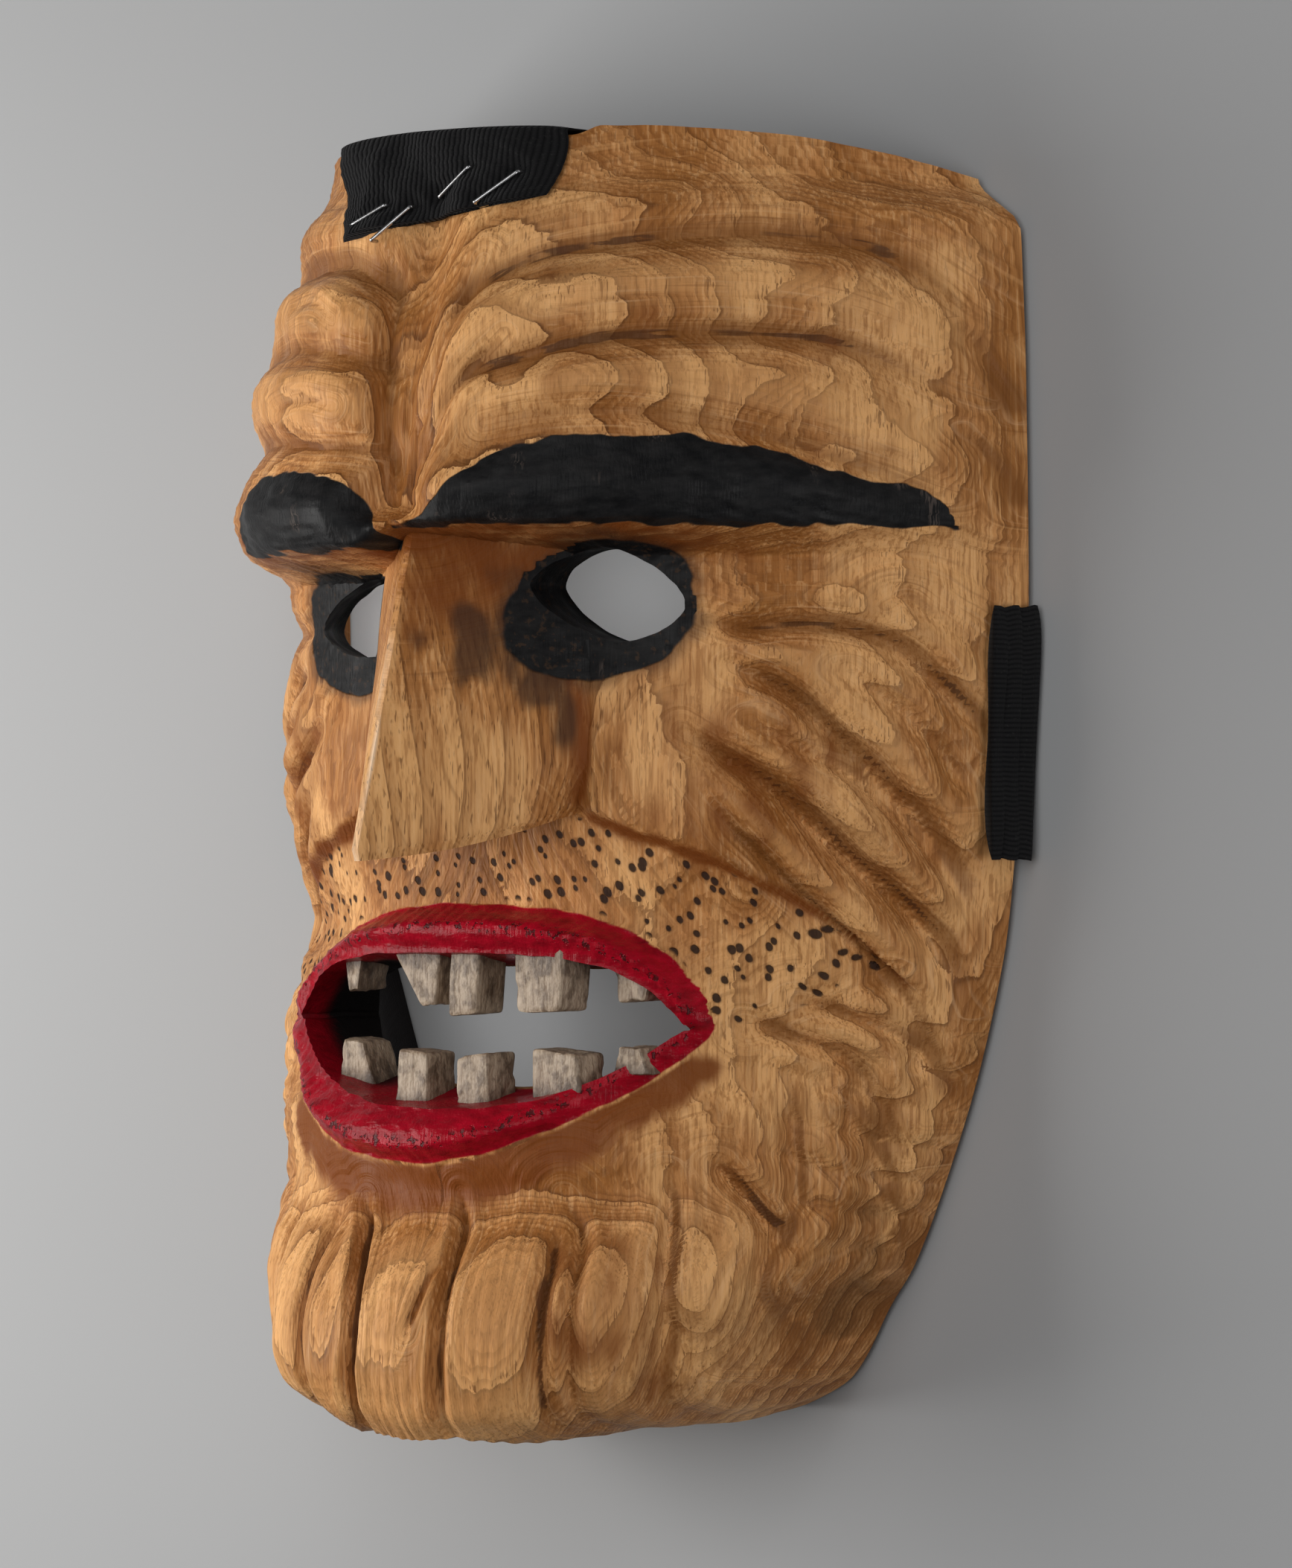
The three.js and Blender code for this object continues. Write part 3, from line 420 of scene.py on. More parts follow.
def outer_block():
    """The front surface closed by the flat back rim and the two end faces."""
    rows, columns = 290, 250
    stops = [(0, CHIN_Y), (0.13, -105), (0.23, -84), (0.30, -68), (0.40, -40), (0.46, -24),
             (0.64, 46), (0.66, 50.5), (0.715, 58.5), (0.735, 64), (1, TOP_Y)]
    flat_y = curve(stops, np.linspace(0, 1, rows))[:, None]
    bend = 0.86 * math.pi / 2
    spread = np.sin(np.linspace(-1, 1, columns) * bend)[None, :] / math.sin(bend)
    y = flat_y + 0 * spread
    for _ in range(4):
        y = flat_y - top_edge(spread * curve(HALF, y)) * ease(100, TOP_Y, flat_y)
    x = spread * curve(HALF, y)
    return closed_tube("carved_wood", face_points(x, y), (0, CHIN_Y, 30), (0, TOP_Y - STRAP_SEAT, 30))


def hollow_half(y):
    return curve(HALF, y) - curve(HOLLOW_WALL, y)


def hollow_height(x, y):
    r = clamp01(np.abs(x) / hollow_half(y))
    rounding = np.where(y > 55, 2.2, 2.5)
    return curve(HOLLOW_DEPTH, y) * (1 - r ** rounding) ** 0.8


def hollow_block():
    rows, columns, below = 90, 80, -5.0
    y = np.linspace(HOLLOW_CHIN, HOLLOW_TOP, rows)[:, None] + np.zeros((1, columns))
    closing = np.sqrt(clamp01(1 - clamp01((-96 - y) / 26) ** 2))
    half = hollow_half(y) * (0.45 + 0.55 * closing)
    spread = -np.cos(np.linspace(0, math.pi, columns))[None, :]
    z = hollow_height(spread * hollow_half(y), y) * (0.25 + 0.75 * closing)
    inside = np.stack([spread * half, y, z], -1)
    inside[..., 2] += 0.9 * soft_noise(inside, 13.0, 5.0) * ease(4, 20, z)

    def lower_edge(sign):
        return np.stack([sign * half[:, :1], y[:, :1], np.full((rows, 1), below)], -1)

    rings = np.concatenate([lower_edge(-1), inside, lower_edge(1)], axis=1)
    return closed_tube("hollow", rings, (0, HOLLOW_CHIN, 20), (0, HOLLOW_TOP, 20))


def nose_block():
    """A plain wedge with a sharp ridge and a sloping underside."""
    rows, flank_steps = 60, 22
    rings = []
    for along in np.linspace(0, 1, rows):
        wing = curve(NOSE_WING, along)
        trim = ease(0.965, 1.0, along)
        ridge = np.array([NOSE["ridge_x"], NOSE["top_y"] + (NOSE["tip_y"] - NOSE["top_y"]) * along,
                          NOSE["top_z"] + (NOSE["tip_z"] - NOSE["top_z"]) * along - 1.6 * trim])
        base_y = NOSE["top_y"] + (NOSE["wing_y"] - NOSE["top_y"]) * along
        ring = []
        for side in (-1, 1):
            corner = np.array([side * (wing - 1.0 * trim), base_y, NOSE["root_z"]])
            flank = []
            for share in np.linspace(0.02, 1, flank_steps):
                spot = ridge + (corner - ridge) * share
                spot[0] += side * 1.3 * math.sin(share * math.pi)
                spot[1] -= 1.6 * math.sin(min(share * 1.25, 1) * math.pi) * along
                flank.append(spot)
            ring += flank[::-1] if side < 0 else flank
        rings.append(ring)
    rings = np.array(rings)
    rings[..., 0] += 0.45 * soft_noise(rings, (8, 16, 8), 2.0) * np.sign(rings[..., 0])
    ends = [(0, NOSE[end], NOSE["root_z"]) for end in ("top_y", "wing_y")]
    return closed_tube("nose", rings, *ends)


def eye_middle(side, z):
    return EYES[side]["x"] - side * EYES[side]["slant"] * (EYE_LEVEL - z)


def eye_reach(side, x, y, z):
    """1 on the wall of the eye hole, less within it and more outside."""
    eye = EYES[side]
    across = x - eye_middle(side, z)
    above = y - eye["y"] + side * EYE_TILT * across
    power = 2 / LENS
    wide = np.abs(across / eye["half_width"]) ** power
    tall = np.abs(above / eye["half_height"]) ** power
    return (wide + tall) ** (1 / power)


def eye_outline(side, z):
    """A lens with softly pointed corners, a little tilted, which slants towards the nose on its way in."""
    angles = np.linspace(0, 2 * math.pi, 96, endpoint=False)
    eye = EYES[side]
    across = np.sign(np.cos(angles)) * np.abs(np.cos(angles)) ** LENS * eye["half_width"]
    above = np.sign(np.sin(angles)) * np.abs(np.sin(angles)) ** LENS * eye["half_height"]
    return eye_middle(side, z) + across, eye["y"] + above - side * EYE_TILT * across


def mouth_outline(z):
    """The opening narrows towards the back, so its red walls show."""
    angles = np.linspace(0, 2 * math.pi, 150, endpoint=False)
    half = MOUTH["half"] - 0.2 * max(0, 58 - z)
    narrow = 0.2 * (1 - 0.85 * np.abs(np.cos(angles)) ** 2.5)
    x = MOUTH["x"] + half * np.cos(angles)
    above = mouth_edge(x, half, 1) - narrow * max(0, 78 - z)
    under = mouth_edge(x, half, -1) + narrow * max(0, 92 - z)
    edge = np.where(np.sin(angles) > 0, np.maximum(above, 1), np.minimum(under, -1))
    return x, MOUTH["mid"] + edge * np.abs(np.sin(angles)) ** 0.2


def hole(name, outline, levels, middle, uneven, size, seed):
    """A block that cuts a hole: its outline at each level of z, made a little uneven up and down."""
    rings = []
    for z in levels:
        x, y = outline(z)
        rings.append(np.stack([x, y, np.full_like(x, z)], -1))
    rings = np.array(rings)
    rings[..., 1] += uneven * soft_noise(rings, size, seed)
    return closed_tube(name, rings, *[(*middle(z), z) for z in (levels[0], levels[-1])])


def eye_hole(side):
    levels = np.linspace(EYE_BACK_Z, EYES[side]["top_z"], 40)
    return hole("eye_hole", lambda z: eye_outline(side, z), levels,
                lambda z: (eye_middle(side, z), EYES[side]["y"]), 0.35, 5.0, 4.0)


def mouth_hole():
    levels = np.linspace(*MOUTH_LEVELS, 50)
    return hole("mouth_hole", mouth_outline, levels,
                lambda z: (MOUTH["x"], MOUTH["mid"]), 0.45, 6.0, 9.0)


# Teeth: middle, width, root, tip, front, lean and how much narrower the tip is
UPPER_TEETH = [
    (-39.5, 5, -40, -47.5, 67, 0.0, 0.5),
    (-17.5, 15.5, -35, -50.5, 73, 0.26, 0.74),
    (-2.2, 8.6, -34, -52, 74, -0.06, 0.10),
    (18.8, 14.4, -34, -51, 74.5, -0.03, 0.14),
    (38.4, 11.5, -40, -48.5, 66, -0.05, 0.35),
]
LOWER_TEETH = [
    (-34.5, 10.5, -69.5, -58.5, 72, -0.12, 0.45),
    (-12.5, 9.6, -75, -60, 81, 0.05, 0.15),
    (4.8, 9.2, -75, -60.5, 81, 0.0, 0.06),
    (25.2, 13.5, -71, -59.5, 77, -0.06, 0.10),
    (40.5, 9.5, -64.5, -58.4, 70, -0.1, 0.4),
]
TOOTH_DEPTH = 11.0


def tooth(name, x, width, root, tip, front, lean, taper):
    """A whittled block, narrower at its tip, with chipped and softened edges."""
    height = abs(root - tip)
    shape = bmesh.new()
    bmesh.ops.create_cube(shape, size=1.0)
    bmesh.ops.bevel(shape, geom=list(shape.edges), offset=0.09, segments=3, profile=0.6, affect="EDGES")
    long_edges = [edge for edge in shape.edges if edge.calc_length() > 0.3]
    bmesh.ops.subdivide_edges(shape, edges=long_edges, cuts=6, use_grid_fill=True)
    middle = Vector((x, (root + tip) / 2, front - TOOTH_DEPTH / 2))
    points, near_root = [], []
    for vert in shape.verts:
        towards_tip = vert.co.y * math.copysign(1, tip - root) + 0.5
        near_root.append(1 - towards_tip)
        shift = lean * height * towards_tip
        spot = Vector((vert.co.x * width * (1 - taper * towards_tip) + shift, vert.co.y * height,
                       vert.co.z * TOOTH_DEPTH))
        spot += middle
        slant = 1.3 * math.sin(1.7 * x) * (spot.x - x) / width * towards_tip
        chip = min(0.0, noise.noise(spot / 3.4 + Vector((x, 0, 0))) + 0.12) * 2.2
        fine = 0.16 * noise.noise(spot / 0.9)
        inward = Vector((x + shift, middle.y, middle.z)) - spot
        spot += inward.normalized() * (-chip) * 0.55 + Vector((fine, slant + fine, fine))
        points.append(tuple(spot))
    faces = [tuple(v.index for v in face.verts) for face in shape.faces]
    shape.free()
    piece = new_object(name, points, faces)
    store(piece.data, "root", near_root)
    return piece


# Upper edges of the painted brows, by distance from the middle of the face
RIGHT_BROW = [(1, 56.6), (8, 58.6), (13, 61), (21.7, 69), (32.8, 74.6), (43.7, 76.6), (58.5, 76.6),
              (69.5, 74.4), (75.7, 72.5), (84.5, 68), (90, 65.8), (93.3, 63.6), (95, 57)]
LEFT_BROW = [(1.0, 53), (2.2, 56), (8.5, 64), (12.7, 67.3), (24.6, 69.4), (37.7, 70.1), (48.6, 67),
             (56, 59.8), (60, 56)]
# Places where the year rings bulge: x, y, spread across and up, and how far the rings are pushed
RING_OVALS = [(76, 115, 8, 5, 5), (77, 91, 8, 5, 5), (86, 72, 10, 4.5, 5), (52, 133, 9, 7, 6),
              (34, 107, 8, 6, -5), (30, 88, 8, 5, -5), (70, 14, 7, 9, 5), (80, 40, 6, 7, 5),
              (62, -24, 6, 10, 5), (-30, 104, 9, 7, 5)]
UNPAINTED = -20.0
# How far below the carved front a point still counts as front, and how far paint runs in
SKIN = 6.5
PAINT_REACH = 16


def paint_fields(piece):
    """How far each point is inside a painted area, in millimetres, and what the wood's look needs."""
    mesh = piece.data
    spots = np.empty(len(mesh.vertices) * 3)
    mesh.vertices.foreach_get("co", spots)
    spots = spots.reshape(-1, 3) / MM - MASK_SHIFT
    x, y, z = spots.T
    far = np.abs(x)
    right = x > 0
    below = face_height(x, y) - z
    on_nose = (y < 57) & (y > -18) & (far < 34) & (below < -0.5)
    outside = (below < SKIN) | on_nose

    # Paint of the brows and round the eyes, lips and dotted muzzle
    brow_top = np.where(right, curve(RIGHT_BROW, far), curve(LEFT_BROW, far))
    brow_end = np.where(right, 95.5, 58.5)
    brow_low = np.where(right, 56.6, 51.6)
    brow = np.min([brow_top - y, y - brow_low, far - 0.4, brow_end - far], axis=0)
    across = np.where(right, (x - 35.5) / 18.4, (x + 38) / 18.6)
    up = np.where(right, (y - 38.5 - 0.18 * (x - 35.5)) / 15.2, (y - 34.5 + 0.10 * (x + 38)) / 14.0)
    ring = 16.5 * (1 - (np.abs(across) ** 2.4 + np.abs(up) ** 2.4) ** (1 / 2.4))
    ring = np.where((below < PAINT_REACH) | on_nose, ring, UNPAINTED)
    in_left_hole = (eye_reach(-1, x, y, z) < 1.1) & (z < EYES[-1]["top_z"])
    in_hole = (eye_reach(1, x, y, z) < 1.1) | in_left_hole
    lip = lip_inset(x, y)
    muzzle = np.minimum(curve(MUZZLE_EDGE, far) - y, -lip) * np.where(far < 56, 1.0, 0.8)
    muzzle = np.where(far < 26, np.minimum(-9.0 - y, muzzle), muzzle)
    low_line = curve([(50, -60), (60, -54), (67, -51), (81, -41)], far)
    muzzle = np.minimum(muzzle, np.where(far > 52, y - low_line, 9.0))
    muzzle = np.where(y < LIP["mid"], -9.0, muzzle)
    # Painted shade: near-black on the walls deep in the mouth and on its far inner wall
    throat = np.where(mouth_inset(x, y) > -6, ease(5, 11, below) * ease(-20, -32, x), 0.0)
    back_wall = ease(16, 26, below) * ease(-26, -38, x) * bell(y, LIP["mid"], 34) ** 0.5

    # Furrows, and the lanes of the gouge beside them, the lips and the rim
    depth, dark, lane = furrow_fields(x, y)
    rim = np.where(y < -60, curve(HALF, y) - far + 30, FAR_AWAY)
    lane = np.min([lane, np.abs(lip) + 60, rim], axis=0)
    # Painted highlight: a pale line along the nose ridge
    nose_ridge_highlight = 2.2 * bell(x, NOSE["ridge_x"], 1.3) * ease(52, 30, y)
    # Painted highlight on the raised swellings between the furrows
    high = np.where(on_nose, nose_ridge_highlight, clamp01((depth + swelling(x, y)) / 1.5))

    # Painted shade in the creases and under the brows and lower lip, and stains of old oil on the nose and
    # tan patches
    crease = 0.9 * clamp01(1 - np.abs(y - curve(MUZZLE_EDGE, far)) / 3.5)
    crease = crease * ease(24, 34, far) * ease(88, 78, far)
    under_lip = 0.85 * ease(0.5, -1.5, lip) * ease(-17, -6, lip) * ease(-58, -64, y) * ease(64, 50, far)
    wing = curve([(-6, 27), (5, 30.5), (20, 29), (32, 22)], y)
    nose_edge = 0.8 * clamp01(1 - np.abs(far - wing) / 3.0) * ease(-8, -4, y) * ease(34, 24, y)
    under_brow = 0.60 * ease(46, 53, y) * ease(58.5, 57, y) * ease(80, 50, far)
    old_oil = np.where(on_nose, 0.65 * ease(16, 46, y) * ease(-2, 6, x), 0.0)
    tan = 0.40 * bell(far, 62, 22) * bell(y, 0, 30) + 0.36 * bell(x, 44, 16) * bell(y, -118, 24)
    tan = tan + 0.22 * bell(x, 60, 30) * bell(y, 92, 30)
    shade_and_stain = np.max([crease, under_lip, nose_edge, under_brow, old_oil, tan], axis=0)
    smudge = bell(x, 17, 11) * bell(y, 31, 13) * 0.75 + bell(x, 27, 5) * bell(y, 16, 9) * 0.4

    # Year rings round the heart of the tree, far behind the face
    radius = np.hypot(x + 14, z + 80) + 8.0 * soft_noise(spots, (60, 150, 60), 0.3)
    radius += 1.5 * soft_noise(spots, (13, 40, 13), 2.2) + 0.35 * soft_noise(spots, (4.0, 14, 4.0), 6.1)
    for oval_x, oval_y, wide, tall, rise in RING_OVALS:
        radius += rise * bell(x, oval_x, wide) * bell(y, oval_y, tall)
    _, dome = lock_dome(x)
    beard = ease(-88, -100, y) * ease(70, 58, far)
    radius += beard * (7.0 * dome * bell(y, -117, 19) - 0.8 * (curve(FACE_DEPTH, y) - 94))
    radius += 1.6 * (scallops(far, y) - 0.6) * ease(58, 68, far) * ease(-48, -58, y)

    # Way round the face from its middle, measured along one section
    section_x = np.arange(0, 95, 0.5)
    section_z = face_height(section_x, np.full_like(section_x, -28.0))
    way = np.append(0, np.cumsum(np.hypot(np.diff(section_x), np.diff(section_z))))

    # Fields for the shader: low, dark, inside, throat and the creases in shade_and_stain carry painted
    # shade, and high carries painted highlight
    fields = dict(
        brow=np.where(outside, brow, UNPAINTED),
        ring=np.where(in_hole, np.maximum(ring, 4.0), ring),
        lip=np.where(below < PAINT_REACH, lip, UNPAINTED),
        throat=np.maximum(throat, clamp01(1.4 * back_wall)),
        muzzle=np.where(outside & ~on_nose, muzzle, UNPAINTED),
        low=outside * clamp01(-depth / 2.6),
        high=outside * high,
        calm=on_nose,
        dark=outside * dark,
        shade_and_stain=outside * shade_and_stain,
        smudge=outside * smudge,
        inside=~outside * ease(SKIN, 12, below),
        radius=radius,
        lane=lane,
        arc=np.interp(far, section_x, way) * np.sign(x),
        mottle=0.5 + 0.9 * soft_noise(spots, (26, 52, 26), 8.4) + 0.35 * soft_noise(spots, (8, 17, 8), 3.3),
        wear=0.5 + 0.8 * soft_noise(spots, (5, 9, 5), 1.9),
    )
    for name, values in fields.items():
        store(mesh, name, values)


# Materials
class Nodes:
    """A material's node tree, with short calls for the nodes that this scene uses."""

    def __init__(self, name):
        self.material = bpy.data.materials.new(name)
        self.material.use_nodes = True
        self.tree = self.material.node_tree
        self.shader = self.tree.nodes["Principled BSDF"]

    def feed(self, socket, value):
        if isinstance(value, bpy.types.NodeSocket):
            self.tree.links.new(value, socket)
        elif value is not None:
            socket.default_value = value

    def node(self, kind, inputs=(), **settings):
        """The outputs of a new node, whose inputs are given in order or by name or number."""
        node = self.tree.nodes.new("ShaderNode" + kind)
        for name, value in settings.items():
            setattr(node, name, value)
        for key, value in inputs.items() if isinstance(inputs, dict) else enumerate(inputs):
            self.feed(node.inputs[key], value)
        return node.outputs

    def math(self, operation, *values):
        return self.node("Math", values, operation=operation)[0]

    def fold(self, operation, first, *others):
        for value in others:
            first = self.math(operation, first, value)
        return first

    def times(self, *values):
        return self.fold("MULTIPLY", *values)

    def plus(self, *values):
        return self.fold("ADD", *values)

    def most(self, *values):
        return self.fold("MAXIMUM", *values)

    def rest(self, value):
        return self.math("SUBTRACT", 1.0, value)

    def spread(self, value, amount):
        """A noise from 0 to 1 turned into one round zero."""
        return self.math("MULTIPLY_ADD", value, 2 * amount, -amount)

    def rib(self, value, gap):
        """Ribs from 0 to 1, one in each gap."""
        return self.math("ABSOLUTE", self.math("SINE", self.times(value, math.pi / gap)))

    def position(self):
        """The place on the object, in millimetres."""
        place = self.node("TexCoord")["Object"]
        return self.node("VectorMath", (place, (1000, 1000, 1000)), operation="MULTIPLY")["Vector"]

    def combine(self, x, y, z):
        return self.node("CombineXYZ", (x, y, z))[0]

    def cells(self, at):
        """Distance to the nearest of points scattered in the plane, one in each unit square."""
        inputs = {"Vector": at, "Scale": 1.0, "Randomness": 1.0}
        return self.node("TexVoronoi", inputs, voronoi_dimensions="2D")["Distance"]

    def field(self, name):
        return self.node("Attribute", attribute_name=name)["Fac"]

    def noise(self, at, scale, detail=2.0, rough=0.5):
        """Noise whose features are as large as scale says along each axis, in millimetres."""
        scaled = self.node("VectorMath", (at, scale), operation="DIVIDE")["Vector"]
        inputs = {"Vector": scaled, "Scale": 1.0, "Detail": detail, "Roughness": rough}
        return self.node("TexNoise", inputs)["Fac"]

    def ramp(self, value, stops):
        node = self.tree.nodes.new("ShaderNodeValToRGB")
        ramp = node.color_ramp
        while len(ramp.elements) < len(stops):
            ramp.elements.new(0.5)
        for element, (place, colour) in zip(ramp.elements, stops):
            element.position = place
            element.color = (*colour, 1.0)
        self.feed(node.inputs["Fac"], value)
        return node.outputs["Color"]

    def step(self, value, start, end):
        """0 at start, 1 at end, smooth between."""
        inputs = {"Value": value, "From Min": start, "From Max": end}
        return self.node("MapRange", inputs, interpolation_type="SMOOTHSTEP")["Result"]

    def mix(self, share, a, b):
        a, b = [(*colour, 1.0) if isinstance(colour, tuple) else colour for colour in (a, b)]
        return self.node("Mix", {0: share, 6: a, 7: b}, data_type="RGBA")[2]

    def coat(self, tone, colour, *shares):
        """A tone with a colour over it, as thick as the product of the shares."""
        return self.mix(self.times(*shares), tone, colour)

    def blend(self, share, a, b):
        """A number between a and b."""
        return self.node("Mix", {0: share, 2: a, 3: b}, data_type="FLOAT")[0]

    def bump(self, height):
        """A bump whose height is in millimetres."""
        return self.node("Bump", {"Distance": MM, "Height": height})["Normal"]

    def finish(self, **values):
        for name, value in values.items():
            self.feed(self.shader.inputs[name.replace("_", " ")], value)
        return self.material


# Widths of a year ring, of the fine lines in it and of the spaces between dots and threads
RING_GAP = 5.6
FINE_GAP = 1.20
DOT_GAP = 4.3
WEAVE_GAP = 0.9
HONEY = (0.610, 0.277, 0.094)
PALE = (0.790, 0.415, 0.160)
BROWN = (0.290, 0.104, 0.024)
DEEP_BROWN = (0.095, 0.033, 0.009)


def wood_material():
    """Oiled chestnut with painted brows, eye rings and lips, and small burnt dots on the muzzle."""
    n = Nodes("painted_wood")
    at = n.position()
    y = n.node("SeparateXYZ", (at,))[1]
    mottle, wear, lane, arc, calm, painted_highlight, lip = [
        n.field(name) for name in ("mottle", "wear", "lane", "arc", "calm", "high", "lip")]

    # Year rings: tubes along the height of the block, cut by the carved surface into bands with one
    # soft and one sharp side; the pores are short dashes along the grain on the sharp side
    dash = n.noise(at, (0.5, 5.5, 0.5), 1.0, 0.6)
    radius = n.plus(n.field("radius"), n.spread(dash, 0.16))
    turn = n.math("DIVIDE", radius, RING_GAP)
    saw = n.math("FRACT", turn)
    year = n.math("SINE", n.times(n.math("FLOOR", turn), 12.9898))
    strength = n.times(n.math("MULTIPLY_ADD", year, 0.26, 0.72), n.blend(calm, 1.0, 0.55))
    soft_side = n.times(n.step(saw, 0.30, 0.97), n.step(saw, 1.0, 0.985))
    edge = n.times(n.step(saw, 0.90, 0.985), n.step(saw, 1.0, 0.99))
    fine = n.math("FRACT", n.math("DIVIDE", radius, FINE_GAP))
    lines = n.times(n.step(fine, 0.35, 0.90), n.step(fine, 1.0, 0.93), n.step(mottle, 0.20, 0.60))
    columns = n.most(n.step(saw, 0.40, 0.02), n.times(calm, n.step(fine, 0.25, 0.70)), 0.35)
    pores = n.times(n.step(dash, 0.56, 0.68), columns)

    # Long gouge strokes that follow the folds. Their colour carries painted shade and highlight and painted
    # sheen streaks, and the raised parts get a painted highlight
    stroke = n.noise(n.combine(lane, arc, y), (1.5, 26, 26), 2.0, 0.6)
    streak = n.noise(at, (0.9, 30, 0.9), 2.0, 0.6)
    # Streaks along the gouge strokes: painted sheen and painted shade in the colour, relief in the bump
    shine = n.noise(n.combine(n.plus(lane, 7.0), arc, y), (0.75, 20, 20), 1.0, 0.6)
    combed = n.times(n.step(lane, 9.0, 4.0), n.rest(calm))
    # Painted highlight on the raised parts, broken up by the grain streaks
    ridge = n.plus(painted_highlight, n.spread(streak, 0.45))

    # Painted shade in the furrows and creases, under the brows and lower lip and further in from the carved
    # front, with stains of old oil, tan and dark patches
    # Painted shade, deeper in the furrows
    low = n.plus(n.field("low"), n.spread(stroke, 0.25))
    # Painted shade: a dark line along the bottom of each furrow
    furrow_shade_line = n.plus(n.field("dark"), n.spread(stroke, 0.60), n.spread(wear, 0.10))
    # Painted shade in creases and under the brows and lower lip, with old oil and tan stains
    shade_and_stain = n.plus(n.field("shade_and_stain"), n.spread(wear, 0.22))
    smudge = n.field("smudge")
    smudged = n.plus(smudge, n.spread(wear, 0.45))
    # Painted shade, darker further in from the carved front
    inside = n.field("inside")

    # Coats of the bare wood: colour, and the shares whose product says how thick it is
    tone = n.ramp(mottle, [(0.25, PALE), (0.50, HONEY), (0.90, (0.440, 0.180, 0.048))])
    for colour, *shares in (
            (BROWN, n.step(streak, 0.48, 0.64), 0.50),
            ((0.870, 0.500, 0.225), n.step(streak, 0.47, 0.34), 0.42),
            (PALE, n.step(saw, 0.42, 0.02), strength, 0.40),
            (BROWN, soft_side, strength, 0.86),
            ((0.210, 0.070, 0.014), lines, 0.50),
            (DEEP_BROWN, edge, strength, 0.80),
            # Painted shade and painted highlight along the gouge strokes, matching their bumps
            ((0.190, 0.068, 0.016), n.step(stroke, 0.54, 0.76), 0.34),
            (PALE, n.step(stroke, 0.42, 0.28), 0.30),
            # Painted highlight on the raised parts
            ((0.850, 0.450, 0.175), n.step(ridge, 0.45, 1.05), 0.36),
            # Painted sheen streaks and painted shade streaks along the gouge strokes
            ((0.850, 0.510, 0.260), n.step(shine, 0.56, 0.78), combed, 0.28),
            ((0.220, 0.078, 0.019), n.step(shine, 0.42, 0.24), combed, 0.36),
            ((0.130, 0.046, 0.013), pores, 0.70),
            # Painted shade in the furrows
            ((0.190, 0.066, 0.014), n.step(low, 0.05, 0.85), 0.70),
            # Painted shade: dark line along the bottom of each furrow
            ((0.060, 0.023, 0.011), n.step(furrow_shade_line, 0.88, 1.00), 0.68),
            # Painted shade in creases and under the brows and lower lip, with old oil and tan stains
            ((0.200, 0.053, 0.009), n.step(shade_and_stain, 0.12, 0.75), 0.95),
            ((0.066, 0.029, 0.015), n.step(smudged, 0.25, 0.66), n.step(smudge, 0.05, 0.30), 0.82),
            # Painted highlight: pale line along the nose ridge
            ((0.900, 0.720, 0.540), n.step(painted_highlight, 1.25, 1.9), 0.70),
            # Painted shade further in from the carved front
            ((0.095, 0.042, 0.015), inside, 0.55)):
        tone = n.coat(tone, colour, *shares)

    # Burnt dots of the shaved muzzle
    muzzle = n.step(n.field("muzzle"), 0.6, 1.8)
    lean = n.math("MULTIPLY_ADD", y, 0.25, arc)
    plane = n.combine(n.math("DIVIDE", lean, DOT_GAP), n.math("DIVIDE", y, 1.15 * DOT_GAP), 0.0)
    dot_size = n.math("MULTIPLY_ADD", n.noise(at, (7, 7, 7), 0.0), 0.28, 0.015)
    cell = n.math("SUBTRACT", n.cells(plane), dot_size)
    dots = n.times(n.step(cell, 0.05, -0.02), muzzle)
    tone = n.coat(tone, (0.130, 0.055, 0.024), n.step(cell, 0.15, 0.0), muzzle, 0.35)
    tone = n.coat(tone, (0.022, 0.012, 0.010), dots, 0.92)

    # Black paint of the brows and round the eyes
    brush = n.noise(at, (5.5, 2.2, 4.0), 3.0, 0.6)
    edge_shift = n.plus(n.spread(n.noise(at, (8, 6, 8), 1.0), 1.7), n.spread(brush, 0.35))
    ring = n.field("ring")
    brow_paint = n.step(n.plus(n.field("brow"), edge_shift), 0.0, 0.5)
    ring_paint = n.step(n.plus(ring, n.times(edge_shift, 0.8)), 0.0, 0.8)
    black = n.most(brow_paint, ring_paint)
    halo = n.step(n.plus(ring, n.times(edge_shift, 2.0)), -4.0, 1.0)
    tone = n.coat(tone, (0.060, 0.027, 0.014), halo, 0.62)
    black_tone = n.ramp(brush, [(0.35, (0.006, 0.006, 0.0065)), (0.75, (0.018, 0.017, 0.017))])
    worn = n.times(n.step(wear, 0.80, 1.05), n.step(dash, 0.48, 0.62))
    tone = n.mix(black, tone, n.coat(black_tone, (0.13, 0.10, 0.085), worn, 0.5))
    crumbs = n.step(n.noise(at, (1.6, 1.6, 1.6), 2.0, 0.6), 0.56, 0.68)
    tone = n.coat(tone, (0.060, 0.032, 0.017), crumbs, ring_paint, 0.55)

    # Red paint of the lips, nicked along their crest; the red darkens towards the opening as painted shade,
    # and deep in the far corner painted shade turns it near-black
    red = n.step(n.plus(lip, n.times(edge_shift, 0.45)), -0.1, 0.4)
    crest = n.times(n.step(lip, 2.8, 4.2), n.step(lip, 7.2, 5.4))
    nicks = n.times(n.step(n.noise(at, (1.5, 1.9, 1.5), 2.0, 0.6), 0.56, 0.62), crest)
    red_tone = n.ramp(brush, [(0.28, (0.420, 0.004, 0.018)), (0.52, (0.310, 0.003, 0.012)),
                              (0.80, (0.14, 0.002, 0.006))])
